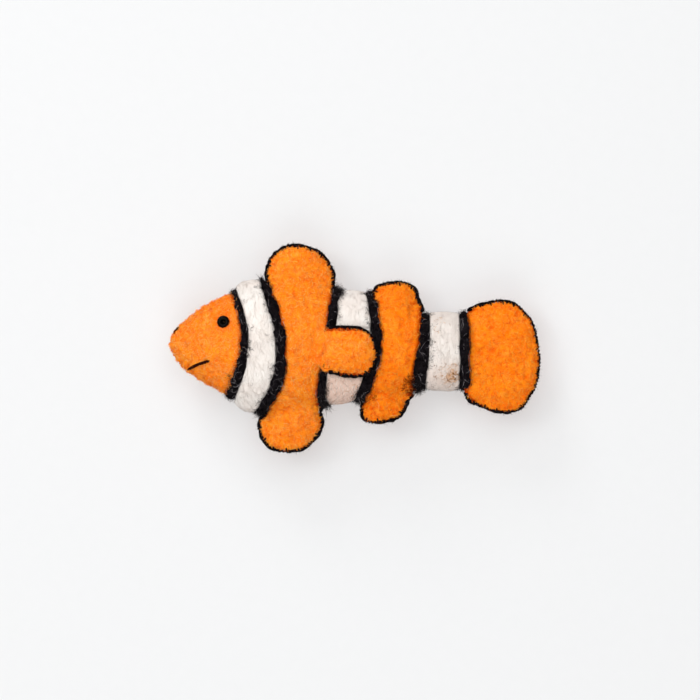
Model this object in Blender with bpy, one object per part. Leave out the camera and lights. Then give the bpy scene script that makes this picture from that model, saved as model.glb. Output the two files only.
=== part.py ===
# A stuffed felt clownfish toy lying on its right side: snout at -X, back at +Y, floor at z = 0.
# The body is a row of slices with an oval section: a felt head, white wool bands between black
# wool ropes, and two felt panels whose ends spread into fins. Sizes are in millimetres.
import math

import bmesh
import bpy
import numpy as np
from mathutils import Vector

MM = 0.001
GAP = 0.3               # clearance between neighbouring solids
SEAM_Z = 12.2           # height of the seam plane, halfway through the stuffed body
SNOUT_X = -55.4
TAIL_TIP_X = 54.9

# Where a border between two slices crosses the toy's side, from belly height to back height.
EDGE_HEIGHTS = (-20.0, -10.0, 0.0, 10.0, 20.0)
HEAD_REAR = (-39.6, -36.7, -33.8, -34.6, -38.0)
HEAD_BAND_FRONT = (-37.2, -33.7, -31.4, -32.7, -36.0)
HEAD_BAND_REAR = (-30.5, -24.6, -23.2, -25.1, -28.3)
TRUNK_FRONT = (-27.6, -21.4, -20.5, -22.2, -27.2)
TRUNK_REAR = (-10.2, -11.0, -9.1, -8.0, -5.6)
MID_BAND_FRONT = (-6.8, -8.9, -6.9, -5.6, -3.3)
MID_BAND_REAR = (-2.3, 1.9, 4.6, 4.2, 3.0)
REAR_FRONT = (-0.4, 5.3, 7.8, 6.7, 4.4)
REAR_BACK = (15.2, 16.5, 18.3, 19.0, 20.6)
TAIL_BAND_FRONT = (20.6, 21.0, 21.8, 22.0, 21.7)
TAIL_BAND_REAR = (31.0, 31.0, 31.0, 31.0, 31.0)
TAIL_FRONT = (33.5, 33.5, 33.5, 33.5, 33.5)

# The stuffed body along its length: x, belly edge, back edge and half thickness at the middle.
BODY_X = (-38.0, -33.4, -28.0, -19.0, -9.0, 4.0, 12.0, 20.0, 34.0)
BELLY_Y = (-14.9, -17.9, -20.0, -19.0, -16.8, -15.2, -15.0, -12.4, -12.4)
BACK_Y = (16.4, 19.1, 20.5, 19.6, 17.6, 16.0, 14.3, 10.3, 10.3)
HALF_THICK = (10.4, 11.4, 11.9, 11.7, 10.3, 9.3, 8.8, 8.0, 6.8)

ROPE_BULGE = 0.5        # how far a black rope stands out of the body
BAND_BULGE = 0.45       # how far a white band puffs out between its ropes
BAND_ROWS = 12
SECTION_END = math.radians(84)

NOSE_GROWTH = 3.1       # the head's half height grows from the snout as a power of the distance
NOSE_POWER = 0.55
HEAD_MID_Y = 0.9
HEAD_THICK = 10.6
HEAD_LENGTH = 21.0
SEAM_HALF = 1.1         # half thickness of the head's stitched edge

FIN_EDGE = 0.8          # half thickness of a fin's edge
FIN_PUFF = 3.0
CORD_R = 0.5            # black edging sewn round each fin
INSET = 2 * CORD_R + 0.2

# Fin ends: where the rounded end starts, its tip, how far it leans per millimetre, and how
# square it is, 2 being an ellipse.
DORSAL_FRONT = (20.2, 31.0, -0.05, 2.25)
PELVIC = (-21.4, -31.2, -0.12, 2.25)
DORSAL_REAR = (14.2, 20.1, -0.17, 2.8)
ANAL = (-16.7, -23.3, -0.33, 2.5)

PECTORAL_X = -1.5       # centre of the pectoral fin's round end
PECTORAL_Y = -1.3
PECTORAL_R = 8.4
PECTORAL_ROOT = (-5.6, 6.8)
PECTORAL_LIFT = 1.05
PECTORAL_EDGE = 0.6     # half thickness of its edge
PECTORAL_PUFF = 1.4

TAIL_MID_X = 44.2       # where the tail is tallest
TAIL_HALF = 17.5
TAIL_MID_Y = -2.0
TAIL_DROOP = 0.075
TAIL_PUFF = 2.8
TAIL_ROOT_REACH = 15.5  # half length of the ellipse towards the root
TAIL_POWER = 2.05       # squareness of the rounded tip
TAIL_INSET = 2 * CORD_R + 0.45

EYE_XY = (-38.7, 7.4)
# The bead's turned profile: radius and height, from its dimple over the rim to its base.
BEAD_PROFILE = ((0.0, 1.3), (0.5, 1.35), (0.85, 1.75), (1.35, 1.75), (1.85, 1.3), (2.0, 0.85),
                (1.75, 0.35), (1.2, 0.1), (0.0, 0.1))
MOUTH = ((-49.6, -6.5), (-46.2, -4.6), (-42.8, -3.8))
THREAD_R = 0.3
SNOUT_STITCH = ((-54.45, 4.7), (-53.8, 5.55), (-53.1, 6.4))

COLOURS = {
    "orange_felt": ((0.96, 0.24, 0.012), 0.95),
    "white_wool": ((0.86, 0.80, 0.74), 0.95),
    "black_wool": ((0.018, 0.014, 0.017), 0.95),
    "black_bead": ((0.006, 0.006, 0.007), 0.12),
    "dark_thread": ((0.025, 0.012, 0.010), 0.7),
}


def material(name):
    base, rough = COLOURS[name]
    made = bpy.data.materials.get(name)
    if made is None:
        made = bpy.data.materials.new(name)
        made.use_nodes = True
        shader = made.node_tree.nodes["Principled BSDF"]
        shader.inputs["Base Color"].default_value = (*base, 1.0)
        shader.inputs["Roughness"].default_value = rough
        shader.inputs["Metallic"].default_value = 0.0
    return made


def border(knots, y):
    quartic = np.polyfit(EDGE_HEIGHTS, knots, 4)
    return float(np.polyval(quartic, y))


def body_at(x, knots):
    return float(np.interp(x, BODY_X, knots))


def body_half(x, y):
    # Half thickness of the oval body at a point on its side.
    belly = body_at(x, BELLY_Y)
    back = body_at(x, BACK_Y)
    t = (2 * y - belly - back) / (back - belly)
    return body_at(x, HALF_THICK) * math.sqrt(max(0.0, 1 - t * t))


def place(name, slot, data, centre):
    # Links one piece under the toy's root empty, with its origin at its own middle.
    item = bpy.data.objects.new(name, data)
    data.materials.append(material(slot))
    bpy.context.collection.objects.link(item)
    item.parent = bpy.data.objects["felt_clownfish"]
    item.location = Vector(centre) * MM
    return item


def add_mesh(name, slot, verts, faces):
    centre = (np.max(verts, axis=0) + np.min(verts, axis=0)) / 2
    mesh = bpy.data.meshes.new(name)
    mesh.from_pydata([(Vector(v) - Vector(centre)) * MM for v in verts], [], faces)
    mesh.validate()
    mesh.shade_smooth()
    mesh.set_sharp_from_angle(angle=math.radians(50))
    return place(name, slot, mesh, centre)


def shell(name, slot, upper, lower):
    # Closes two grids of points, one above the other, into one body.
    rows = len(upper)
    cols = len(upper[0])
    verts = [p for row in upper for p in row] + [p for row in lower for p in row]
    below = rows * cols
    faces = []
    for i in range(rows - 1):
        for j in range(cols - 1):
            a = i * cols + j
            faces.append((a, a + 1, a + 1 + cols, a + cols))
            faces.append((below + a, below + a + cols, below + a + 1 + cols, below + a + 1))
    rim = [j for j in range(cols)]
    rim += [i * cols + cols - 1 for i in range(1, rows)]
    rim += [(rows - 1) * cols + j for j in range(cols - 2, -1, -1)]
    rim += [i * cols for i in range(rows - 2, 0, -1)]
    for k, a in enumerate(rim):
        b = rim[(k + 1) % len(rim)]
        faces.append((a, below + a, below + b, b))
    return add_mesh(name, slot, verts, faces)


def pillow(name, slot, points, half):
    # A piece that is the same above and below the seam plane, flattened where it meets the floor.
    upper = [[(x, y, SEAM_Z + half(x, y, u, v)) for x, y, u, v in row] for row in points]
    lower = [[(x, y, max(0.0, SEAM_Z - half(x, y, u, v))) for x, y, u, v in row] for row in points]
    return shell(name, slot, upper, lower)


def slice_points(front, rear, columns, bulge):
    points = []
    for i in range(BAND_ROWS + 1):
        t = math.sin(SECTION_END * (2 * i / BAND_ROWS - 1))
        row = []
        for j in range(columns + 1):
            u = 2 * j / columns - 1
            swell = bulge * math.sqrt(1 - u * u)
            y = 18.0 * t
            for _ in range(4):
                left = border(front, y) + GAP / 2
                right = border(rear, y) - GAP / 2
                x = left + (right - left) * (u + 1) / 2
                belly = body_at(x, BELLY_Y) - swell
                back = body_at(x, BACK_Y) + swell
                y = (belly + back + t * (back - belly)) / 2
            row.append((x, y, u, t))
        points.append(row)
    return points


def body_slice(name, slot, front, rear, bulge):
    def half(x, y, u, t):
        swell = bulge * math.sqrt(1 - u * u)
        return (body_at(x, HALF_THICK) + swell) * math.sqrt(1 - t * t)

    return pillow(name, slot, slice_points(front, rear, 4, bulge), half)


def head_thickness(x):
    return max(0.4, HEAD_THICK * min(1.0, (x - SNOUT_X) / HEAD_LENGTH) ** 0.6)


def head_half(x, y):
    reach = NOSE_GROWTH * max(0.02, x - SNOUT_X) ** NOSE_POWER
    t = min(1.0, abs(y - HEAD_MID_Y) / reach)
    return SEAM_HALF + head_thickness(x) * math.sqrt(1 - t ** 2.3) * 0.92


def head():
    columns = 9
    rows = 12
    points = []
    for i in range(rows + 1):
        t = math.sin(math.pi / 2 * (2 * i / rows - 1))
        row = []
        for j in range(columns + 1):
            u = (j / columns) ** 1.7
            y = 17.0 * t
            for _ in range(4):
                back = border(HEAD_REAR, y) - GAP / 2
                x = SNOUT_X + (back - SNOUT_X) * u
                y = HEAD_MID_Y + t * NOSE_GROWTH * max(0.03, x - SNOUT_X) ** NOSE_POWER
            row.append((x, y, u, t))
        points.append(row)
    return pillow("head", "orange_felt", points, lambda x, y, u, t: head_half(x, y))


def panel_sides(y, front, rear, end, inset):
    # A felt panel at one height: between its ropes, or across the rounded end of a fin.
    mid_y, tip_y, lean, square = end
    past = (y - mid_y) * math.copysign(1.0, tip_y - mid_y)
    level = y if past < 0 else mid_y
    left = border(front, level) + GAP / 2 + inset
    right = border(rear, level) - GAP / 2 - inset
    if past <= 0:
        return left, right
    reach = abs(tip_y - mid_y) - inset
    middle = (left + right) / 2 + lean * past
    wide = (right - left) / 2 * max(0.0, 1 - (past / reach) ** square) ** (1 / square)
    return middle - wide, middle + wide


def panel_row(y, front, rear, end, inset, columns):
    left, right = panel_sides(y, front, rear, end, inset)
    us = [math.sin(math.pi / 2 * (2 * j / columns - 1)) for j in range(columns + 1)]
    return [((left + right) / 2 + (right - left) / 2 * u, y, u) for u in us]


def fin_heights(end, root, inset, angles):
    # Heights from a fin's root to its tip, closer together round the end.
    mid_y, tip_y = end[:2]
    reach = tip_y - mid_y - math.copysign(inset, tip_y - mid_y)
    heights = [root, (root + mid_y) / 2]
    return heights + [mid_y + reach * math.sin(math.radians(a)) for a in angles]


def fin_end(name, front, rear, end, root):
    # The rounded end of a panel, beyond the body.
    mid_y, tip_y = end[:2]
    heights = fin_heights(end, root, INSET, (0, 17, 34, 50, 64, 75, 83))
    if tip_y < mid_y:
        heights.reverse()
    points = []
    for y in heights:
        along = min(1.0, max(0.0, (y - mid_y) / (tip_y - mid_y)))
        row = panel_row(y, front, rear, end, INSET, 8)
        points.append([(x, y, u, along) for x, y, u in row])

    def half(x, y, u, v):
        dome = FIN_EDGE + FIN_PUFF * math.sqrt((1 - u * u) * (1 - v * v))
        return max(body_half(x, y) * 0.92, dome)

    return pillow(name, "orange_felt", points, half)


def panel_body(name, front, rear, end, low_y, high_y):
    rows = 10
    points = []
    for i in range(rows + 1):
        y = low_y + (high_y - low_y) * i / rows
        points.append([(x, y, u, 0.0) for x, y, u in panel_row(y, front, rear, end, 0.0, 6)])
    return pillow(name, "orange_felt", points,
                  lambda x, y, u, v: max(FIN_EDGE, body_half(x, y) * (0.93 + 0.07 * (1 - u * u))))


def cord(name, slot, path, radius):
    centre = np.mean(path, axis=0)
    curve = bpy.data.curves.new(name, "CURVE")
    curve.dimensions = "3D"
    curve.bevel_depth = radius * MM
    curve.bevel_resolution = 1
    curve.use_fill_caps = True
    spline = curve.splines.new("POLY")
    spline.points.add(len(path) - 1)
    for point, where in zip(spline.points, path):
        point.co = (*((Vector(where) - Vector(centre)) * MM), 1.0)
    return place(name, slot, curve, centre)


def fin_cord(name, front, rear, end, root):
    # Black edging sewn round a fin, from its root on one side to its root on the other.
    left = []
    right = []
    for y in fin_heights(end, root, CORD_R, (0, 15, 30, 45, 58, 70, 80)):
        low_x, high_x = panel_sides(y, front, rear, end, CORD_R)
        left.append((low_x, y, SEAM_Z))
        right.append((high_x, y, SEAM_Z))
    return cord(name, "black_wool", left + right[::-1], CORD_R)


def pectoral_edges(x, inset):
    # Lower and upper outline of the pectoral fin at one x.
    root_x = border(TRUNK_REAR, 0.0)
    if x < PECTORAL_X:
        share = (x - root_x) / (PECTORAL_X - root_x)
        ease = math.sin(share * math.pi / 2)
        low = PECTORAL_ROOT[0] + (PECTORAL_Y - PECTORAL_R - PECTORAL_ROOT[0]) * ease
        high = PECTORAL_ROOT[1] + (PECTORAL_Y + PECTORAL_R - PECTORAL_ROOT[1]) * ease
        return low + inset, high - inset
    radius = PECTORAL_R - inset
    width = math.sqrt(max(0.0, radius ** 2 - (x - PECTORAL_X) ** 2))
    return PECTORAL_Y - width, PECTORAL_Y + width


def pectoral(name, side):
    # A padded flap lying on the bands, rooted at the trunk's rear edge.
    columns = 10
    rows = 8
    root_x = border(TRUNK_REAR, 0.0) + GAP
    radius = PECTORAL_R - INSET
    xs = [root_x + (PECTORAL_X - root_x) * k / 4 for k in range(4)]
    xs += [PECTORAL_X + radius * math.sin(math.radians(a)) for a in (0, 16, 32, 47, 61, 73, 82)]
    outer = []
    inner = []
    for i in range(rows + 1):
        t = math.sin(math.pi / 2 * (2 * i / rows - 1))
        outer_row = []
        inner_row = []
        for j in range(columns + 1):
            low, high = pectoral_edges(xs[j], INSET)
            y = (low + high + t * (high - low)) / 2
            v = (xs[j] - PECTORAL_X) / radius
            puff = PECTORAL_PUFF * math.sqrt(max(0.0, (1 - t * t) * (1 - v * v)))
            base = body_half(xs[j], y) + PECTORAL_LIFT
            top = base + 2 * PECTORAL_EDGE + puff
            inner_row.append((xs[j], y, SEAM_Z + side * base))
            outer_row.append((xs[j], y, max(0.0, SEAM_Z + side * top)))
        outer.append(outer_row)
        inner.append(inner_row)
    if side > 0:
        return shell(name, "orange_felt", outer, inner)
    return shell(name, "orange_felt", inner, outer)


def pectoral_cord(name, side):
    path = []
    root_x = border(TRUNK_REAR, 0.0) + GAP
    outline = []
    for k in range(4):
        x = root_x + (PECTORAL_X - root_x) * k / 4
        outline.append((x, pectoral_edges(x, CORD_R)[1]))
    for k in range(13):
        angle = math.radians(90 - 180 * k / 12)
        radius = PECTORAL_R - CORD_R
        outline.append((PECTORAL_X + radius * math.cos(angle), PECTORAL_Y + radius * math.sin(angle)))
    for k in range(3, -1, -1):
        x = root_x + (PECTORAL_X - root_x) * k / 4
        outline.append((x, pectoral_edges(x, CORD_R)[0]))
    for x, y in outline:
        lift = body_half(x, y) + PECTORAL_LIFT + PECTORAL_EDGE
        path.append((x, y, max(CORD_R, SEAM_Z + side * lift)))
    return cord(name, "black_wool", path, CORD_R)


def tail_edges(x, inset):
    # Lower and upper outline of the tail at one x.
    if x < TAIL_MID_X:
        shrink = math.sqrt(1 - ((x - TAIL_MID_X) / TAIL_ROOT_REACH) ** 2)
    else:
        span = TAIL_TIP_X - inset - TAIL_MID_X
        shrink = max(0.0, 1 - ((x - TAIL_MID_X) / span) ** TAIL_POWER) ** (1 / TAIL_POWER)
    middle = TAIL_MID_Y - TAIL_DROOP * (x - TAIL_FRONT[0])
    return middle - (TAIL_HALF - inset) * shrink, middle + (TAIL_HALF - inset) * shrink


def tail_stations(inset, root_x):
    span = TAIL_TIP_X - inset - TAIL_MID_X
    xs = [root_x + (TAIL_MID_X - root_x) * k / 4 for k in range(4)]
    return xs + [TAIL_MID_X + span * share for share in (0, 0.25, 0.48, 0.68, 0.84, 0.94, 0.99)]


def tail_fin():
    root_x = TAIL_FRONT[0] + GAP / 2
    tip_x = TAIL_TIP_X - TAIL_INSET
    rows = 12
    points = []
    for i in range(rows + 1):
        t = math.sin(math.pi / 2 * (2 * i / rows - 1))
        row = []
        for x in tail_stations(TAIL_INSET, root_x):
            low, high = tail_edges(x, TAIL_INSET)
            along = (x - root_x) / (tip_x - root_x)
            row.append((x, (low + high + t * (high - low)) / 2, t, along))
        points.append(row)

    def half(x, y, t, along):
        return FIN_EDGE + TAIL_PUFF * math.sqrt(max(0.0, (1 - t * t) * (1 - along ** 2)))

    return pillow("tail_fin", "orange_felt", points, half)


def tail_cord():
    upper = []
    lower = []
    for x in tail_stations(CORD_R, TAIL_FRONT[0] + GAP / 2 + CORD_R):
        low, high = tail_edges(x, CORD_R)
        upper.append((x, high, SEAM_Z))
        lower.append((x, low, SEAM_Z))
    return cord("tail_fin_edging", "black_wool", upper + lower[::-1], CORD_R)


def eye(name, side):
    # A round seed bead sewn flat on the head; its thread fills the hole up to a dimple.
    made = bmesh.new()
    turned = [made.verts.new((radius * MM, 0.0, height * MM)) for radius, height in BEAD_PROFILE]
    lines = [made.edges.new(pair) for pair in zip(turned, turned[1:])]
    bmesh.ops.spin(made, geom=turned + lines, axis=(0, 0, 1), cent=(0, 0, 0), steps=16,
                   angle=2 * math.pi, use_merge=True)
    bmesh.ops.remove_doubles(made, verts=made.verts, dist=0.00001)
    bmesh.ops.recalc_face_normals(made, faces=made.faces)
    mesh = bpy.data.meshes.new(name)
    made.to_mesh(mesh)
    made.free()
    mesh.shade_smooth()
    x, y = EYE_XY
    step = 0.5
    slope_x = (head_half(x + step, y) - head_half(x - step, y)) / (2 * step)
    slope_y = (head_half(x, y + step) - head_half(x, y - step)) / (2 * step)
    item = place(name, "black_bead", mesh, (x, y, SEAM_Z + side * (head_half(x, y) + 0.1)))
    item.rotation_mode = "QUATERNION"
    item.rotation_quaternion = Vector((-slope_x, -slope_y, side)).to_track_quat("Z", "Y")
    return item


def mouth(name, side):
    path = []
    for k in range(7):
        s = k / 6
        x = (1 - s) ** 2 * MOUTH[0][0] + 2 * s * (1 - s) * MOUTH[1][0] + s * s * MOUTH[2][0]
        y = (1 - s) ** 2 * MOUTH[0][1] + 2 * s * (1 - s) * MOUTH[1][1] + s * s * MOUTH[2][1]
        lift = head_half(x, y) + THREAD_R + 0.2
        path.append((x, y, SEAM_Z + side * lift))
    return cord(name, "dark_thread", path, THREAD_R)


def build():
    for item in list(bpy.data.objects):
        bpy.data.objects.remove(item, do_unlink=True)
    root = bpy.data.objects.new("felt_clownfish", None)
    bpy.context.collection.objects.link(root)
    head()
    eye("eye_left", 1)
    eye("eye_right", -1)
    mouth("mouth_left", 1)
    mouth("mouth_right", -1)
    cord("snout_stitch", "dark_thread", [(x, y, SEAM_Z) for x, y in SNOUT_STITCH], THREAD_R)
    body_slice("head_band_front_rope", "black_wool", HEAD_REAR, HEAD_BAND_FRONT, ROPE_BULGE)
    body_slice("head_band", "white_wool", HEAD_BAND_FRONT, HEAD_BAND_REAR, BAND_BULGE)
    body_slice("head_band_rear_rope", "black_wool", HEAD_BAND_REAR, TRUNK_FRONT, ROPE_BULGE)
    panel_body("trunk", TRUNK_FRONT, TRUNK_REAR, DORSAL_FRONT, -17.2, 16.6)
    fin_end("dorsal_fin_front", TRUNK_FRONT, TRUNK_REAR, DORSAL_FRONT, 16.9)
    fin_cord("dorsal_fin_front_edging", TRUNK_FRONT, TRUNK_REAR, DORSAL_FRONT, 16.9)
    fin_end("pelvic_fin", TRUNK_FRONT, TRUNK_REAR, PELVIC, -17.5)
    fin_cord("pelvic_fin_edging", TRUNK_FRONT, TRUNK_REAR, PELVIC, -17.5)
    pectoral("pectoral_fin_left", 1)
    pectoral_cord("pectoral_fin_left_edging", 1)
    pectoral("pectoral_fin_right", -1)
    pectoral_cord("pectoral_fin_right_edging", -1)
    body_slice("mid_band_front_rope", "black_wool", TRUNK_REAR, MID_BAND_FRONT, ROPE_BULGE)
    body_slice("mid_band", "white_wool", MID_BAND_FRONT, MID_BAND_REAR, BAND_BULGE)
    body_slice("mid_band_rear_rope", "black_wool", MID_BAND_REAR, REAR_FRONT, ROPE_BULGE)
    panel_body("rear_body", REAR_FRONT, REAR_BACK, DORSAL_REAR, -14.4, 12.0)
    fin_end("dorsal_fin_rear", REAR_FRONT, REAR_BACK, DORSAL_REAR, 12.3)
    fin_cord("dorsal_fin_rear_edging", REAR_FRONT, REAR_BACK, DORSAL_REAR, 12.3)
    fin_end("anal_fin", REAR_FRONT, REAR_BACK, ANAL, -14.7)
    fin_cord("anal_fin_edging", REAR_FRONT, REAR_BACK, ANAL, -14.7)
    body_slice("tail_band_front_rope", "black_wool", REAR_BACK, TAIL_BAND_FRONT, ROPE_BULGE)
    body_slice("tail_band", "white_wool", TAIL_BAND_FRONT, TAIL_BAND_REAR, BAND_BULGE)
    body_slice("tail_band_rear_rope", "black_wool", TAIL_BAND_REAR, TAIL_FRONT, ROPE_BULGE)
    tail_fin()
    tail_cord()


build()
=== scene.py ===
import math

import bmesh
import bpy
import numpy as np
from mathutils import Euler, Matrix, Vector, geometry
from mathutils.bvhtree import BVHTree
from mathutils.kdtree import KDTree


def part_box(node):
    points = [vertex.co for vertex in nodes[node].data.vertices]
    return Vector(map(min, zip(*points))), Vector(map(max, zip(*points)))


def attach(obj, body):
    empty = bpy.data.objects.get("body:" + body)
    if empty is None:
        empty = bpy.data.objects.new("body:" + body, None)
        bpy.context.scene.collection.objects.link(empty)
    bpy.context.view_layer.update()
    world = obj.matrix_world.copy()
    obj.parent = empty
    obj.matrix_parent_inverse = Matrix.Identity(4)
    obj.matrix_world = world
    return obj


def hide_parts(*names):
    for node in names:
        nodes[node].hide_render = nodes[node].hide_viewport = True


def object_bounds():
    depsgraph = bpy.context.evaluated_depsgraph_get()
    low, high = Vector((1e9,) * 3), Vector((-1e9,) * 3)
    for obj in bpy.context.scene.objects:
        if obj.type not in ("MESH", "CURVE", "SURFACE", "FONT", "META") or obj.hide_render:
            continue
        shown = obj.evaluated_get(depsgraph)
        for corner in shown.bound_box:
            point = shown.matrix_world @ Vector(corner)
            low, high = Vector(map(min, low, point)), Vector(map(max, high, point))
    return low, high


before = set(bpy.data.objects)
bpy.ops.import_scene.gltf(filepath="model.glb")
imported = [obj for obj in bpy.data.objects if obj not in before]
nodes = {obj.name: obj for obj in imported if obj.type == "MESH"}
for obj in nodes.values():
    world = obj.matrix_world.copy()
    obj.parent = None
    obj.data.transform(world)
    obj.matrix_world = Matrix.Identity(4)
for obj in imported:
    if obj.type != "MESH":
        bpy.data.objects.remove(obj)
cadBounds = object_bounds()
floorZ = cadBounds[0].z
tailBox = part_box("tail_fin")
seamZ = (tailBox[0].z + tailBox[1].z) / 2  # the plane where the two sides of the toy are sewn together
flapLow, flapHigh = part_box("pectoral_fin_left")


def corners(mesh, what="co"):  # where the points of a mesh are, or their normals
    flat = np.empty(len(mesh.vertices) * 3)
    mesh.vertices.foreach_get(what, flat)
    return flat.reshape(-1, 3)


def moveTo(mesh, points):
    mesh.vertices.foreach_set("co", points.ravel())
    mesh.update()


def shift(mesh, offsets):
    moveTo(mesh, corners(mesh) + offsets)


def fade(gap, reach, power=2):  # 1 where the gap is nothing, falling softly to 0 past the reach
    return np.exp(-(gap / reach) ** power)


def welded(names, grow=0.0):  # copies of frame solids in one bmesh, each swollen a little
    made = bmesh.new()
    for name in names:
        made.from_mesh(nodes[name].data)
    bmesh.ops.remove_doubles(made, verts=made.verts, dist=0.00001)
    made.normal_update()
    for vert in made.verts:
        vert.co += vert.normal * grow
    return made


def wallLine(name, side):  # the border of a slice facing the head (-1) or the tail (1), as y and x
    made = welded([name])
    found = set()
    for face in made.faces:  # those that stand upright and face that way
        if abs(face.normal.z) < 0.2 and face.normal.x * side > 0.5:
            found.update((round(v.co.y, 6), round(v.co.x, 6)) for v in face.verts)
    made.free()
    line = np.array(sorted(found))
    return line[:, 0], line[:, 1]


def runOf(points):  # how far along a run of points each one is
    return np.concatenate([[0], np.cumsum(np.linalg.norm(np.diff(points, axis=0), axis=1))])


def evenLine(points, spacing, rounds=2):  # the same run of points, rounded and evenly spaced
    points = np.asarray(points, dtype=float)
    for _ in range(rounds):
        middle = (points[:-2] + 2 * points[1:-1] + points[2:]) / 4
        points = np.vstack([points[:1], middle, points[-1:]])
    run = runOf(points)
    even = np.linspace(0, run[-1], max(4, int(run[-1] / spacing) + 1))
    return np.column_stack([np.interp(even, run, points[:, k]) for k in range(points.shape[1])])


def lineNormals(line):  # the flat way out of an outline at each of its points
    step = np.gradient(line[:, :2], axis=0)
    step /= np.linalg.norm(step, axis=1)[:, None]
    out = np.column_stack([step[:, 1], -step[:, 0]])
    if ((line[:, :2] - line[:, :2].mean(axis=0)) * out).sum() < 0:
        out = -out
    return out


def freeOutline(name, bodySide, spacing):  # a fin's free outline, seen flat, from root to root
    made = welded([name])
    flat = [v.co.xy for v in made.verts]
    made.free()
    hull = np.array([flat[i] for i in geometry.convex_hull_2d(flat)])
    hull = hull[np.linalg.norm(np.roll(hull, -1, axis=0) - hull, axis=1) > 0.00002]
    if np.cross(hull[1] - hull[0], hull[2] - hull[0]) < 0:
        hull = hull[::-1]
    step = np.roll(hull, -1, axis=0) - hull
    away = np.column_stack([step[:, 1], -step[:, 0]]) / np.linalg.norm(step, axis=1)[:, None]
    free = away @ np.array(bodySide) < 0.9  # the rest of the outline faces the body
    first = int(np.where(free & ~np.roll(free, 1))[0][0])
    loop = np.roll(hull, -first, axis=0)[:int(free.sum()) + 1]
    return evenLine(evenLine(loop, spacing * 2), spacing)


def spread(line, reach):  # a fin's outline let out towards the head, towards the tail and at its tip
    out = lineNormals(line)
    wide = np.where(out[:, 0] < 0, reach["head"], reach["tail"])
    tall = np.full(len(out), reach["tip"])
    return out * np.column_stack([wide, tall])


def threadLine(name):  # the middle of a thin solid that runs along x
    points = corners(nodes[name].data)
    edges = np.linspace(points[:, 0].min(), points[:, 0].max(), 9)
    part = np.clip(np.digitize(points[:, 0], edges) - 1, 0, 7)
    return np.array([points[part == k].mean(axis=0) for k in range(8) if (part == k).any()])


def treeOf(name):
    made = welded([name])
    tree = BVHTree.FromBMesh(made)
    made.free()
    return tree


def meshTree(mesh):
    return BVHTree.FromPolygons(corners(mesh).tolist(), [p.vertices[:] for p in mesh.polygons])


def surfaceZ(tree, x, y, side):  # height of the upper (1) or lower (-1) skin over a point
    hit = tree.ray_cast(Vector((x, y, seamZ + side * 0.05)), Vector((0, 0, -side)))
    return hit[0].z if hit[0] else None


def waves(points, size, seed, count=28):  # soft random lumps about size across, near -1 to 1
    draw = np.random.default_rng(seed)
    way = draw.normal(size=(count, 3))
    way /= np.linalg.norm(way, axis=1)[:, None]
    way *= 2 * math.pi / (size * draw.uniform(0.7, 1.6, count))[:, None]
    phase = draw.uniform(0, 2 * math.pi, count)
    return np.sin(points @ way.T + phase).sum(axis=1) / math.sqrt(count / 2)


def linked(name, data):
    item = bpy.data.objects.new(name, data)
    bpy.context.scene.collection.objects.link(item)
    return item


def newPiece(name, mesh, finish):
    piece = linked(name, mesh)
    mesh.materials.clear()
    mesh.materials.append(finish)
    mesh.polygons.foreach_set("use_smooth", [True] * len(mesh.polygons))
    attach(piece, "root")
    print(name, len(mesh.polygons), "faces")
    return piece


def skinned(name, made, voxel, soften):  # one closed skin round everything in a bmesh
    mesh = bpy.data.meshes.new(name)
    made.to_mesh(mesh)
    made.free()
    rough = linked(name + "Rough", mesh)
    skin = rough.modifiers.new("skin", "REMESH")
    skin.mode = "VOXEL"
    skin.voxel_size = voxel
    smooth = rough.modifiers.new("soften", "SMOOTH")
    smooth.factor = 0.5
    smooth.iterations = soften
    bpy.context.view_layer.update()
    seen = rough.evaluated_get(bpy.context.evaluated_depsgraph_get())
    result = bpy.data.meshes.new_from_object(seen)
    result.name = name
    bpy.data.objects.remove(rough)
    return result


clothLook = {
    "scale": 20.0,       # the felt is simulated at the size of a cushion
    "voxel": 0.0011,
    "pressure": 60.0,
    "steps": 20,
    "most": 0.0006,      # how far the wadding may push a point
    "hold": 0.0011,      # felt nearer than this to a sewn line stays where it is
    "atFlap": 0.003,     # a wall this near to the root of the flap is free under it
}


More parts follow.
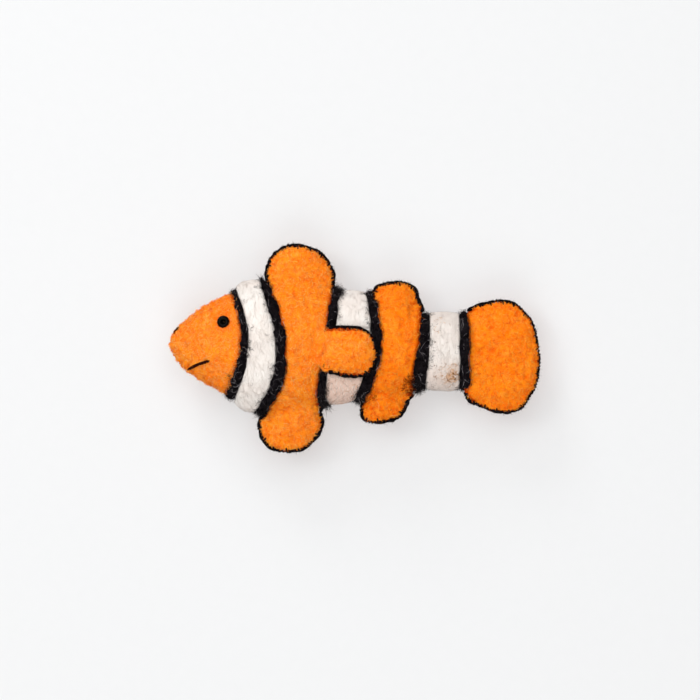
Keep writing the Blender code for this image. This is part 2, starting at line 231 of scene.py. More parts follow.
def stuffed(name, made, lines, walls):  # wadding pushes the felt out between its sewn edges
    mesh = skinned(name + "Pad", made, clothLook["voxel"], 1)
    start = corners(mesh)
    held = np.zeros(len(start), dtype=bool)
    for line in lines:
        held |= nearLine(start, line)[0] < clothLook["hold"]
    underFlap = (start[:, 1] > flapLow.y) & (start[:, 1] < flapHigh.y)
    for wallY, wallX in walls:
        atWall = np.abs(start[:, 0] - np.interp(start[:, 1], wallY, wallX)) < clothLook["hold"]
        held |= atWall & ~(underFlap & (np.abs(wallX.mean() - flapLow.x) < clothLook["atFlap"]))
    mesh.vertices.foreach_set("co", (start * clothLook["scale"]).ravel())
    pad = linked(name + "Pad", mesh)
    pad.vertex_groups.new(name="sewn").add(np.where(held)[0].tolist(), 1.0, "REPLACE")
    wadding = pad.modifiers.new("wadding", "CLOTH")
    wadding.settings.use_pressure = True
    wadding.settings.uniform_pressure_force = clothLook["pressure"]
    wadding.settings.vertex_group_mass = "sewn"
    wadding.settings.effector_weights.gravity = 0.0
    wadding.collision_settings.use_collision = False
    wadding.point_cache.frame_end = clothLook["steps"]
    for step in range(1, clothLook["steps"] + 1):
        bpy.context.scene.frame_set(step)
    seen = pad.evaluated_get(bpy.context.evaluated_depsgraph_get())
    move = corners(seen.data) / clothLook["scale"] - start
    far = np.linalg.norm(move, axis=1)
    move *= (np.minimum(far, clothLook["most"]) / np.maximum(far, 1e-9))[:, None]
    print(name, "wadding moved the felt by", round(far.mean() * 1000, 2), "mm, at most",
          round(min(far.max(), clothLook["most"]) * 1000, 2), "mm")
    bpy.data.objects.remove(pad)
    bpy.context.scene.frame_set(1)
    mesh.vertices.foreach_set("co", (start + move).ravel())
    puffed = bmesh.new()
    puffed.from_mesh(mesh)
    bpy.data.meshes.remove(mesh)
    bmesh.ops.subdivide_edges(puffed, edges=puffed.edges, cuts=1, use_grid_fill=True, smooth=0.5)
    return puffed


def addGrid(made, rows):  # rows of points as a tube of quads with closed ends
    verts = [[made.verts.new(p) for p in row] for row in rows]
    for a, b in zip(verts, verts[1:]):
        for k in range(len(a)):
            n = (k + 1) % len(a)
            made.faces.new((a[k], a[n], b[n], b[k]))
    made.faces.new(list(reversed(verts[0])))
    made.faces.new(verts[-1])


def nearLine(points, line):  # each point's distance from a flat line, its place along it, and the way out
    run = runOf(line)
    out = lineNormals(line)
    reach = 0.004
    away = np.full(len(points), 1.0)
    along = np.zeros(len(points))
    outward = np.zeros((len(points), 2))
    low = line.min(axis=0) - reach
    high = line.max(axis=0) + reach
    near = np.where(((points[:, :2] > low) & (points[:, :2] < high)).all(axis=1))[0]
    for chunk in np.array_split(near, max(1, len(near) // 4000)):
        gap = np.linalg.norm(points[chunk, None, :2] - line[None], axis=2)
        best = gap.argmin(axis=1)
        away[chunk] = gap[np.arange(len(chunk)), best]
        along[chunk] = run[best]
        outward[chunk] = out[best]
    return away, along, outward


def stitchSpots(line, pitch, seed):  # where each stitch crosses an outline, as distances along it
    draw = np.random.default_rng(seed)
    total = runOf(line)[-1]
    count = max(2, round(total / pitch))
    spots = (np.arange(count) + 0.5) * total / count
    return spots + draw.uniform(-0.18, 0.18, count) * pitch


def stitchBeat(along, spots, width):  # 1 at a stitch, and 0 between two stitches
    nearest = np.abs(along[:, None] - spots[None]).min(axis=1)
    return fade(nearest, width)


def letOut(mesh, line, reach):  # lets a fin's felt out to its wider outline
    points = corners(mesh)
    away, along, _ = nearLine(points, line)
    move = spread(line, reach)
    run = runOf(line)
    place = np.column_stack([np.interp(along, run, move[:, k]) for k in range(2)])
    offsets = np.zeros_like(points)
    offsets[:, :2] = place * fade(away, reach["soft"])[:, None]
    shift(mesh, offsets)


wallLook = {
    "uneven": 0.45,      # how unevenly a slice swells, in waves of this size
    "wave": 0.0032,
    "past": 0.0008,      # how far past the ends of its wall it swells
    "deep": 0.003,       # how far inside the wall the swelling starts
}


def overhang(mesh, name, over, look):  # a slice swells over its neighbours at its flat walls
    points = corners(mesh)
    amount = np.zeros(len(points))
    shoulder = np.zeros(len(points))
    past = wallLook["past"]
    uneven = 1 + wallLook["uneven"] * waves(points, wallLook["wave"], 77)
    for side, far in over.items():
        wallY, wallX = wallLine(name, side)
        gap = (np.interp(points[:, 1], wallY, wallX) - points[:, 0]) * side
        inside = (points[:, 1] > wallY.min() - past) & (points[:, 1] < wallY.max() + past)
        near = fade(np.maximum(gap, 0), look["soft"]) * inside * (gap < wallLook["deep"])
        amount += side * near * far
        shoulder = np.maximum(shoulder, near)
    offsets = corners(mesh, "normal") * (shoulder * look["swell"])[:, None]
    offsets[:, 0] += amount * uneven
    shift(mesh, offsets)


def pucker(mesh, line, spots, look):  # stitches pull a felt edge in: dents, and a scalloped outline
    away, along, outward = nearLine(corners(mesh), line)
    beat = stitchBeat(along, spots, look["pitch"] * 0.26)
    pull = beat * fade(away - look["in"], look["spread"])
    edge = fade(away, look["spread"])
    offsets = -corners(mesh, "normal") * (pull * look["depth"])[:, None]
    offsets[:, :2] += outward * (edge * (look["reach"] - beat * look["notch"]))[:, None]
    shift(mesh, offsets)


def relax(mesh, weight, rounds):  # evens out a skin's height where it is weighted
    edges = np.empty(len(mesh.edges) * 2, dtype=np.int32)
    mesh.edges.foreach_get("vertices", edges)
    a, b = edges[0::2], edges[1::2]
    points = corners(mesh)
    count = len(points)
    degree = np.bincount(a, minlength=count) + np.bincount(b, minlength=count)
    z = points[:, 2].copy()
    for _ in range(rounds):
        around = np.bincount(a, z[b], count) + np.bincount(b, z[a], count)
        z += (around / np.maximum(degree, 1) - z) * weight
    points[:, 2] = z
    moveTo(mesh, points)


def lumps(mesh, sizes):  # the uneven surface of hand felting
    points = corners(mesh)
    amount = sum(waves(points, size, 11 + k) * depth for k, (size, depth) in enumerate(sizes))
    shift(mesh, corners(mesh, "normal") * amount[:, None])


def flatten(mesh):  # the toy's weight presses its lowest wool flat
    points = corners(mesh)
    points[:, 2] = np.maximum(points[:, 2], floorZ)
    moveTo(mesh, points)


def note(mesh, name, values):  # a number kept on each corner of a mesh, for its finish to read
    kept = mesh.attributes.new(name, "FLOAT", "POINT")
    kept.data.foreach_set("value", np.asarray(values, dtype=np.float32))


def frameOf(paths):  # directions along and across many runs of points at once
    step = np.gradient(paths, axis=1)
    step /= np.linalg.norm(step, axis=2, keepdims=True) + 1e-12
    up = np.zeros_like(step)
    up[..., 2] = 1.0
    upright = np.abs(step[..., 2]) > 0.9
    up[upright] = (1.0, 0.0, 0.0)
    side = np.cross(step, up)
    side /= np.linalg.norm(side, axis=2, keepdims=True) + 1e-12
    return side, np.cross(side, step)


def tubes(paths, radii, sides):  # many closed tubes with pointed ends: their corners and faces
    count, rings, _ = paths.shape
    side, up = frameOf(paths)
    turn = np.arange(sides) * 2 * math.pi / sides
    ring = (side[:, :, None] * np.cos(turn)[None, None, :, None] +
            up[:, :, None] * np.sin(turn)[None, None, :, None])
    body = paths[:, 1:-1, None] + ring[:, 1:-1] * radii[:, 1:-1, None, None]
    per = (rings - 2) * sides + 2
    verts = np.concatenate([paths[:, :1], body.reshape(count, -1, 3), paths[:, -1:]], axis=1)
    k = np.arange(sides)
    n = (k + 1) % sides
    last = 1 + (rings - 3) * sides
    triangles = [np.column_stack([np.zeros(sides, int), 1 + n, 1 + k]),
                 np.column_stack([last + k, last + n, np.full(sides, per - 1)])]
    for r in range(rings - 3):
        a = 1 + r * sides
        b = a + sides
        triangles.append(np.column_stack([a + k, a + n, b + n]))
        triangles.append(np.column_stack([a + k, b + n, b + k]))
    faces = np.concatenate(triangles)[None] + (np.arange(count) * per)[:, None, None]
    return verts.reshape(-1, 3), faces.reshape(-1, 3), per


def meshOf(name, parts):  # one mesh of triangles from several sets of tubes
    verts = np.concatenate([part[0] for part in parts])
    starts = np.cumsum([0] + [len(part[0]) for part in parts[:-1]])
    faces = np.concatenate([part[1] + start for part, start in zip(parts, starts)])
    mesh = bpy.data.meshes.new(name)
    mesh.vertices.add(len(verts))
    mesh.vertices.foreach_set("co", verts.ravel())
    mesh.loops.add(faces.size)
    mesh.loops.foreach_set("vertex_index", faces.ravel().astype(np.int32))
    mesh.polygons.add(len(faces))
    mesh.polygons.foreach_set("loop_start", (np.arange(len(faces)) * 3).astype(np.int32))
    mesh.update(calc_edges=True)
    return mesh


class Wire:  # a shader socket; arithmetic on wires becomes Math nodes
    def __init__(self, tree, socket=None):
        self.tree = tree
        self.socket = socket

    def node(self, kind, settings=None, sockets=None, output=0):
        made = self.tree.nodes.new("ShaderNode" + kind)
        for key, value in (settings or {}).items():
            setattr(made, key, value)
        for key, value in (sockets or {}).items():
            if isinstance(value, Wire):
                self.tree.links.new(value.socket, made.inputs[key])
            else:
                made.inputs[key].default_value = value
        return Wire(self.tree, made.outputs[output])

    def sums(self, operation, first, second):
        return self.node("Math", {"operation": operation}, {0: first, 1: second})

    def __add__(self, other):
        return self.sums("ADD", self, other)

    def __radd__(self, other):
        return self.sums("ADD", other, self)

    def __sub__(self, other):
        return self.sums("SUBTRACT", self, other)

    def __rsub__(self, other):
        return self.sums("SUBTRACT", other, self)

    def __mul__(self, other):
        return self.sums("MULTIPLY", self, other)

    def __rmul__(self, other):
        return self.sums("MULTIPLY", other, self)


class Finish:  # a material in the making, with the nodes that its finishes share
    def __init__(self, name, fixed):
        self.made = bpy.data.materials.new(name)
        self.made.use_nodes = True
        self.shader = self.made.node_tree.nodes["Principled BSDF"]
        for key, value in fixed.items():
            self.shader.inputs[key].default_value = value
        self.wire = Wire(self.made.node_tree)
        self.place = self.wire.node("TexCoord", output=3)

    def noise(self, scale, detail=3.0, rough=0.55, bend=0.0, where=None):
        return self.wire.node("TexNoise", {}, {"Vector": where or self.place, "Scale": scale,
                                               "Detail": detail, "Roughness": rough, "Distortion": bend})

    def patches(self, scale, low, high, detail=3.0, rough=0.55):
        cloud = self.noise(scale, detail, rough)
        return self.wire.node("MapRange", {"interpolation_type": "SMOOTHSTEP"},
                              {"Value": cloud, "From Min": low, "From Max": high})

    def kept(self, name, output=2):
        return self.wire.node("Attribute", {"attribute_name": name}, output=output)

    def mixed(self, amount, first, second):  # two colours, each a wire or red, green and blue
        first, second = [one if isinstance(one, Wire) else (*one, 1.0) for one in (first, second)]
        return self.wire.node("Mix", {"data_type": "RGBA"}, {0: amount, 6: first, 7: second}, 2)

    def feed(self, name, value):
        self.wire.tree.links.new(value.socket, self.shader.inputs[name])

    def raised(self, strength, distance, height):  # small relief in the shading
        self.feed("Normal", self.wire.node("Bump", {}, {"Strength": strength, "Distance": distance,
                                                        "Height": height}))


feltLook = {
    "plain": (1.00, 0.305, 0.015),
    "pale": (1.00, 0.460, 0.090),
    "deep": (1.00, 0.170, 0.001),
    "shadedPit": (0.82, 0.052, 0.0003),       # painted shade in dents, stitch holes and small pits
    "turned": (0.34, 0.022, 0.0005),    # painted shade where the felt turns down to a rope
}


def feltFinish(name, look):
    felt = Finish(name, {"Roughness": 0.92, "Specular IOR Level": 0.01})
    cloudy = felt.patches(150, 0.38, 0.66)
    paler = felt.patches(420, 0.48, 0.70, 5.0, 0.7)
    deeper = felt.patches(700, 0.48, 0.64, 4.0, 0.75)
    # painted shade in small random pits
    pitShade = felt.patches(620, 0.60, 0.72, 4.0, 0.8) * felt.patches(130, 0.42, 0.62)
    wisps = felt.noise(1900.0, 5.0, 0.75, 1.6)
    specks = felt.patches(2300, 0.54, 0.66, 3.0, 0.7)
    colour = felt.mixed(cloudy * 0.45, look["plain"], look["deep"])
    colour = felt.mixed(paler * 0.50, colour, look["pale"])
    colour = felt.mixed(deeper * 0.70, colour, look["deep"])
    colour = felt.mixed(specks * 0.55, colour, look["deep"])
    colour = felt.mixed(pitShade * 0.75, colour, look["shadedPit"])
    colour = felt.mixed((wisps - 0.54) * 3.5, colour, look["pale"])
    # painted shade in stitch holes and dents, and beside the ropes
    colour = felt.mixed(felt.kept("sewn") * 0.85, colour, look["shadedPit"])
    # painted shade where the felt turns down to a rope
    colour = felt.mixed(felt.kept("turned") * 0.75, colour, look["turned"])
    felt.feed("Base Color", colour)
    felt.feed("Roughness", wisps * 0.2 + 0.8)
    strands = felt.noise(1300.0, 6.0, 0.75, 1.4)
    pills = felt.noise(500.0, 2.0)
    felt.raised(1.0, 0.0005, strands * 0.8 + pills * 0.6)
    return felt.made


woolLook = {
    "plain": (0.735, 0.67, 0.62),
    "bright": (0.785, 0.745, 0.70),
    "shade": (0.62, 0.52, 0.47),
    "bellyShade": (0.68, 0.45, 0.35),    # painted shade and orange bounce light, towards the belly
    "stain": (0.62, 0.33, 0.15),
    "grime": (0.16, 0.09, 0.05),
    "bellyShaded": 0.0,                 # how much of the painted belly shade shows
    "soiled": 0.0,                  # how much of the stain and grime shows
}


def woolFinish(name, look):
    wool = Finish(name, {"Roughness": 0.95, "Sheen Weight": 0.10, "Sheen Roughness": 0.7,
                         "Specular IOR Level": 0.08})
    combed = wool.noise(34.0, 5.0, 0.65, 0.15, wool.kept("flow", 1))
    cloudy = wool.patches(180, 0.35, 0.7)
    colour = wool.mixed(cloudy, look["plain"], look["bright"])
    grain = wool.noise(1400.0, 4.0, 0.75, 1.0)
    colour = wool.mixed((combed - 0.50) * 0.5, colour, look["shade"])
    colour = wool.mixed((grain - 0.55) * 2.0, colour, look["shade"])
    # painted shade and orange bounce light towards the belly
    colour = wool.mixed(wool.kept("under") * look["bellyShaded"], colour, look["bellyShade"])
    if look["soiled"]:
        spots = wool.patches(900, 0.60, 0.68, 3.0, 0.7)
        colour = wool.mixed(spots * wool.kept("soil") * look["soiled"], colour, look["grime"])
        smear = wool.patches(260, 0.42, 0.62, 4.0, 0.7)
        colour = wool.mixed(smear * wool.kept("smear") * look["soiled"], colour, look["stain"])
    wool.feed("Base Color", colour)
    pills = wool.noise(1200.0, 4.0, 0.7)
    wool.raised(0.12, 0.0005, combed * 1.2 + pills * 0.35)
    return wool.made


yarnLook = {
    "deep": (0.002, 0.001, 0.002),
    "plain": (0.012, 0.009, 0.012),
    "hair": (0.085, 0.070, 0.078),
}


def yarnFinish(name, look):
    yarn = Finish(name, {"Roughness": 0.9, "Specular IOR Level": 0.04})
    cloudy = yarn.patches(500, 0.4, 0.65)
    hairs = yarn.noise(2200.0, 5.0, 0.75, 2.0)
    colour = yarn.mixed(cloudy, look["deep"], look["plain"])
    colour = yarn.mixed((hairs - 0.58) * 2.4, colour, look["hair"])
    yarn.feed("Base Color", colour)
    yarn.raised(1.0, 0.0006, hairs)
    return yarn.made


def hairFinish(name, dark, light, clumps=0.0):  # loose fibres, each with its own shade between two
    hair = Finish(name, {"Roughness": 0.85, "Specular IOR Level": 0.02})
    grain = hair.noise(900.0, 2.0)
    amount = hair.kept("shade") * (grain * 0.4 + 0.8)
    if clumps:
        amount = amount + (hair.noise(1500.0, 4.0, 0.7) - 0.5) * clumps
    hair.feed("Base Color", hair.mixed(amount, dark, light))
    return hair.made


def beadFinish(name):
    glass = Finish(name, {"Specular IOR Level": 0.05})
    haze = glass.noise(900.0, 3.0)
    glass.feed("Roughness", haze * 0.10 + 0.05)
    glass.feed("Base Color", glass.mixed(haze, (0.0008, 0.0008, 0.0008), (0.003, 0.003, 0.002)))
    return glass.made


def threadFinish(name, deep, plain):
    thread = Finish(name, {"Roughness": 0.85, "Specular IOR Level": 0.03})
    ply = thread.noise(3000.0, 3.0)
    thread.feed("Base Color", thread.mixed(ply, deep, plain))
    thread.raised(0.5, 0.0002, ply)
    return thread.made


def paperFinish(name):  # the paper glows a little, so that it stays pale right beside the toy
    paper = Finish(name, {"Roughness": 0.85, "Specular IOR Level": 0.05,
                          "Emission Color": (1.0, 1.0, 1.0, 1.0), "Emission Strength": 0.385})
    grain = paper.noise(300.0, 2.0)
    paper.feed("Base Color", paper.mixed(grain, (0.398, 0.402, 0.406), (0.412, 0.416, 0.420)))
    return paper.made


orangeFelt = feltFinish("orangeFelt", feltLook)
deepFelt = feltFinish("deepFelt", {**feltLook, "plain": (1.00, 0.270, 0.008), "pale": (1.00, 0.410, 0.050),
                                   "deep": (1.00, 0.150, 0.001)})
orangeFuzz = hairFinish("orangeFuzz", (0.88, 0.120, 0.0005), (1.0, 0.560, 0.120), 2.2)
deepFuzz = hairFinish("deepFuzz", (0.84, 0.088, 0.0004), (1.0, 0.480, 0.062), 2.4)
paleFuzz = hairFinish("paleFuzz", (1.0, 0.40, 0.07), (1.0, 0.60, 0.24))
orangeThread = threadFinish("orangeThread", (0.80, 0.15, 0.006), (0.98, 0.30, 0.04))
whiteWool = woolFinish("whiteWool", woolLook)
# the middle band, painted shaded towards the belly
bellyShadedWool = woolFinish("bellyShadedWool", {**woolLook, "bellyShaded": 0.8})
spottedWool = woolFinish("spottedWool", {**woolLook, "plain": (0.69, 0.62, 0.57),
                                         "bright": (0.74, 0.69, 0.645), "bellyShaded": 0.2, "soiled": 0.9})
whiteFuzz = hairFinish("whiteFuzz", (0.65, 0.585, 0.54), (0.78, 0.725, 0.68))
# pink fibres: painted shade and orange bounce light
bellyShadedFuzz = hairFinish("bellyShadedFuzz", (0.58, 0.37, 0.27), (0.93, 0.86, 0.80))
blendedFuzz = hairFinish("blendedFuzz", (0.045, 0.006, 0.001), (0.72, 0.13, 0.006))
brownFuzz = hairFinish("brownFuzz", (0.22, 0.08, 0.02), (0.82, 0.44, 0.16))
blackYarn = yarnFinish("blackYarn", yarnLook)
blackFuzz = hairFinish("blackFuzz", (0.006, 0.004, 0.005), (0.56, 0.51, 0.53))
blackBead = beadFinish("blackBead")
darkThread = threadFinish("darkThread", (0.010, 0.0015, 0.001), (0.035, 0.006, 0.003))
print("finishes ready")


finStitches = {
    "pitch": 0.0019,     # from one stitch to the next
    "in": 0.0009,        # from the edge to the stitch hole
    "spread": 0.0007,    # how wide each dent is
    "depth": 0.00030,
    "notch": 0.00020,    # how far a stitch pulls the outline in
    "reach": 0.00005,    # how far the outline bulges between stitches
    "holeShade": 0.9,         # how dark the painted shade in a stitch hole may be
}
headStitches = {"pitch": 0.0023, "in": 0.0012, "spread": 0.0010, "depth": 0.00035, "notch": 0.00030,
                "reach": 0.0, "holeShade": 0.6}
finEdge = {
    "stitches": finStitches,
    "ends": (0, 0),      # how far the stitches go on past the two ends of the outline
    "head": 0.0005,      # how far the felt stands past the plain outline, towards the head
    "tail": 0.0005,
    "tip": 0.0001,
    "soft": 0.0035,
}
edgeLooks = {  # body: the side where the fin meets the body
    "dorsal": {**finEdge, "node": "dorsal_fin_front", "body": (0, -1)},
    "pelvic": {**finEdge, "node": "pelvic_fin", "body": (0, 1), "ends": (0.0, 0.0009), "tail": 0.0010,
               "tip": 0.0004},
    "pectoral": {**finEdge, "node": "pectoral_fin_left", "body": (-1, 0), "ends": (-0.0017, -0.0008),
                 "head": 0.0, "tail": 0.0002, "tip": -0.0002, "soft": 0.0025},
    "rearDorsal": {**finEdge, "node": "dorsal_fin_rear", "body": (0, -1), "ends": (0.0019, 0.0),
                   "head": 0.0012, "tail": 0.0006},
    "anal": {**finEdge, "node": "anal_fin", "body": (0, 1), "ends": (0.0, 0.0015), "head": 0.0007,
             "tail": 0.0009, "tip": -0.0001},
    "tail": {**finEdge, "node": "tail_fin", "body": (-1, 0), "ends": (0.0016, 0.0), "head": 0.0,
             "tail": 0.0009, "tip": 0.0003, "soft": 0.0050},
    "head": {**finEdge, "node": "head", "body": (1, 0), "stitches": headStitches, "head": -0.0001,
             "tail": 0.0, "tip": -0.0001, "soft": 0.0030},
}
outlineStep = 0.0004


def ended(line, ends):  # an outline made longer or shorter at its two ends
    run = runOf(line)
    line = line[(run >= -ends[0]) & (run <= run[-1] + ends[1])]
    first = line[0] - line[3]
    last = line[-1] - line[-4]
    before = [line[0] + first / np.linalg.norm(first) * ends[0]] if ends[0] > 0 else []
    after = [line[-1] + last / np.linalg.norm(last) * ends[1]] if ends[1] > 0 else []
    return np.vstack([*before, line, *after])


outlines = {}
sewing = {}
for seed, (edge, look) in enumerate(edgeLooks.items()):
    outlines[edge] = freeOutline(look["node"], look["body"], outlineStep)
    wider = evenLine(outlines[edge] + spread(outlines[edge], look), outlineStep)
    wider = evenLine(ended(wider, look["ends"]), outlineStep, 0)
    sewing[edge] = (wider, stitchSpots(wider, look["stitches"]["pitch"], seed))


def pocks(x0, x1, y0, y1, count, seed, deeper=1.0):  # small random dents, where needles went in
    draw = np.random.default_rng(seed)
    return [(draw.uniform(x0, x1), draw.uniform(y0, y1), 1, draw.uniform(0.0003, 0.0007),
             draw.uniform(0.00010, 0.00036) * deeper) for _ in range(count)]


def middleOf(name):
    low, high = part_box(name)
    return (low + high) / 2


def dentAt(name, x, y, side, size, depth):  # one dent, placed from the middle of a solid
    middle = middleOf(name)
    return middle.x + x, middle.y + y, side, size, depth


feltLooks = {  # over: how far it swells over the ropes beside it; roots: where fins grow from the body
    "headFelt": {
        "sources": ["head"], "edges": ["head"], "finish": orangeFelt, "over": {1: 0.0002}, "roots": [],
        # the dents round the eye beads get painted shade like every dent
        "dents": [dentAt("eye_left", 0, 0, 1, 0.0026, 0.00060),
                  dentAt("eye_right", 0, 0, -1, 0.0026, 0.00060),
                  *pocks(-0.053, -0.037, -0.011, 0.015, 16, 1),
                  *pocks(-0.046, -0.036, -0.014, -0.007, 10, 2)],
    },
    "trunkFelt": {
        "sources": ["trunk", "dorsal_fin_front", "pelvic_fin", "pectoral_fin_left", "pectoral_fin_right"],
        "edges": ["dorsal", "pelvic", "pectoral"], "finish": orangeFelt, "over": {-1: 0.0004, 1: 0.0002},
        "roots": [("dorsal_fin_front", "back", 0.0030), ("pelvic_fin", "belly", 0.0030),
                  ("pectoral_fin_left", "tail", 0.0032)],
        "dents": [*pocks(-0.019, -0.008, 0.013, 0.025, 12, 3),
                  *pocks(-0.019, -0.009, -0.010, 0.009, 16, 4),
                  *pocks(-0.027, -0.011, -0.030, -0.018, 20, 5),
                  *pocks(-0.008, 0.005, -0.007, 0.005, 16, 6)],
    },
    "rearFelt": {
        "sources": ["rear_body", "dorsal_fin_rear", "anal_fin"], "edges": ["rearDorsal", "anal"],
        "finish": deepFelt, "over": {-1: 0.0010, 1: 0.0003},
        "roots": [("dorsal_fin_rear", "back", 0.0026), ("anal_fin", "belly", 0.0026)],
        "dents": [*pocks(0.007, 0.017, -0.004, 0.017, 18, 7), *pocks(0.005, 0.016, -0.016, -0.004, 30, 8),
                  *pocks(0.004, 0.014, -0.0245, -0.0130, 44, 11, 1.5)],
    },
    "tailFelt": {
        "sources": ["tail_fin"], "edges": ["tail"], "finish": deepFelt, "over": {-1: 0.0007}, "roots": [],
        "dents": [dentAt("tail_fin", -0.0065, 0.0010, 1, 0.0011, 0.00040),
                  dentAt("tail_fin", -0.0030, 0.0018, 1, 0.0012, 0.00045),
                  dentAt("tail_fin", -0.0009, 0.0007, 1, 0.0010, 0.00035),
                  dentAt("tail_fin", -0.0032, 0.0085, 1, 0.0007, 0.00035),
                  *pocks(0.035, 0.053, -0.017, 0.012, 18, 9), *pocks(0.036, 0.042, -0.004, 0.000, 8, 10)],
    },
}
feltShape = {
    "voxel": 0.00042,
    "soften": 6,
    "grow": 0.00012,
    "swell": 0.00030,           # how far the felt bulges beside a rope
    "soft": 0.0013,
    "lumps": ((0.009, 0.00016), (0.0035, 0.00009), (0.0014, 0.00006)),  # size and depth
    "hole": (0.00045, 0.0005),  # reach of the painted shade round a stitch hole, along the edge and across it
    "fullyShadedDent": 0.0006,         # a dent this deep gets the darkest painted shade
    "turn": 0.0010,             # how near to a rope the painted shade starts
    "blend": 0.5,               # how fast the felt is evened out at a fin's root, and how often
    "blendRounds": 90,
}


def inDent(points, dent):  # 1 in the middle of a dent, and 0 away from it
    x, y, side, size, _ = dent
    gap = np.hypot(points[:, 0] - x, points[:, 1] - y)
    return fade(gap, size) * ((points[:, 2] - seamZ) * side > 0)


def press(mesh, dents):  # places where sewing or handling has dimpled the felt
    points = corners(mesh)
    amount = np.zeros(len(points))
    for dent in dents:
        amount += dent[-1] * inDent(points, dent)
    shift(mesh, -corners(mesh, "normal") * amount[:, None])


def rootWeight(points, node, way, reach):  # how strongly a fin's root is blended into the body
    low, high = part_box(node)
    if way == "tail":
        gap = points[:, 0] - low.x
        side = np.abs(points[:, 1] - (low.y + high.y) / 2) / ((high.y - low.y) / 2)
    else:
        gap = points[:, 1] - (low.y if way == "back" else high.y)
        side = np.abs(points[:, 0] - (low.x + high.x) / 2) / ((high.x - low.x) / 2)
    return fade(gap, reach, 4) * np.clip((0.98 - side) / 0.15, 0, 1)


def stitchHoleShade(mesh, line, spots, look):  # painted shade round each stitch hole
    away, along, _ = nearLine(corners(mesh), line)
    wide, deep = feltShape["hole"]
    holeShade = stitchBeat(along, spots, wide) * fade(away - look["in"], deep)
    strength = np.random.default_rng(len(spots)).uniform(0.0, 1.0, len(spots)) ** 1.5
    which = np.abs(along[:, None] - spots[None]).argmin(axis=1)
    return holeShade * strength[which] * look["holeShade"]


def turnedDown(points, look):  # painted shade where the felt turns down to a rope, at each point
    turned = np.zeros(len(points))
    for side, over in look["over"].items():
        wallY, wallX = wallLine(look["sources"][0], side)
        inward = (np.interp(points[:, 1], wallY, wallX) - points[:, 0]) * side
        inward += over + feltShape["swell"]
        bare = (points[:, 1] > wallY.min()) & (points[:, 1] < wallY.max())
        if "pectoral" in look["edges"] and side > 0:  # the flap covers this rope
            bare &= (points[:, 1] < flapLow.y + 0.0010) | (points[:, 1] > flapHigh.y - 0.0010)
        turned = np.maximum(turned, fade(np.maximum(inward, 0), feltShape["turn"]) * bare)
    return turned


flapRoots = {
    "inX": 0.0040,       # the felt between flap and trunk starts this far out on the flap
    "outX": 0.0060,      # and ends this far in on the trunk
    "steps": 12,
    "side": (0.0012, 0.0014),    # from the flap's lower and upper edge to the sides of that felt
    "flat": (0.0032, 0.0028),    # from there on, the flap has its full height
    "over": (0.0002, 0.0001),    # how far the felt lies over the flap and over the trunk
    "thick": 0.0024,
    "crease": {"x": 0.0002, "y": -0.0051, "crestX": 0.0020, "crestY": -0.0035, "under": 0.0009,
               "turn": -0.75, "size": (0.0030, 0.0021, 0.0011)},
}


def addFlapRoots(made):  # felt that carries the trunk's surface up into each pectoral fin
    trunkTree = treeOf("trunk")
    steps = flapRoots["steps"]
    lowSide, highSide = flapRoots["side"]
    lowFlat, highFlat = flapRoots["flat"]
    overFlap, overTrunk = flapRoots["over"]
    crease = flapRoots["crease"]
    for side, name in ((1, "pectoral_fin_left"), (-1, "pectoral_fin_right")):
        flapTree = treeOf(name)
        low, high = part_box(name)
        startX = low.x + flapRoots["inX"]
        endX = low.x - flapRoots["outX"]
        rows = []
        for i in range(steps + 1):
            share = i / steps
            x = startX + (endX - startX) * share
            ease = share * share * (3 - 2 * share)
            tops = []
            for k in range(steps + 1):
                y = low.y + lowSide + (high.y - low.y - lowSide - highSide) * k / steps
                inner = min(max(y, low.y + lowFlat), high.y - highFlat)
                flap = surfaceZ(flapTree, low.x + 0.0012, inner, side)
                body = surfaceZ(trunkTree, min(x, low.x - 0.0008), y, side)
                if flap is None or body is None:
                    continue
                flap += side * overFlap
                body += side * overTrunk
                tops.append(Vector((x, y, flap + (body - flap) * ease)))
            under = [Vector((p.x, p.y, p.z - side * flapRoots["thick"])) for p in reversed(tops)]
            rows.append(tops + under)
        least = min(len(row) for row in rows)
        addGrid(made, [row for row in rows if len(row) == least or len(row) == len(rows[0])])
        crest = surfaceZ(flapTree, low.x + crease["crestX"], crease["crestY"], side)
        place = Vector((low.x + crease["x"], crease["y"], crest - side * crease["under"]))
        fill = Matrix.LocRotScale(place, Euler((0, 0, crease["turn"])), Vector(crease["size"]))
        bmesh.ops.create_uvsphere(made, u_segments=24, v_segments=12, radius=1.0, matrix=fill)


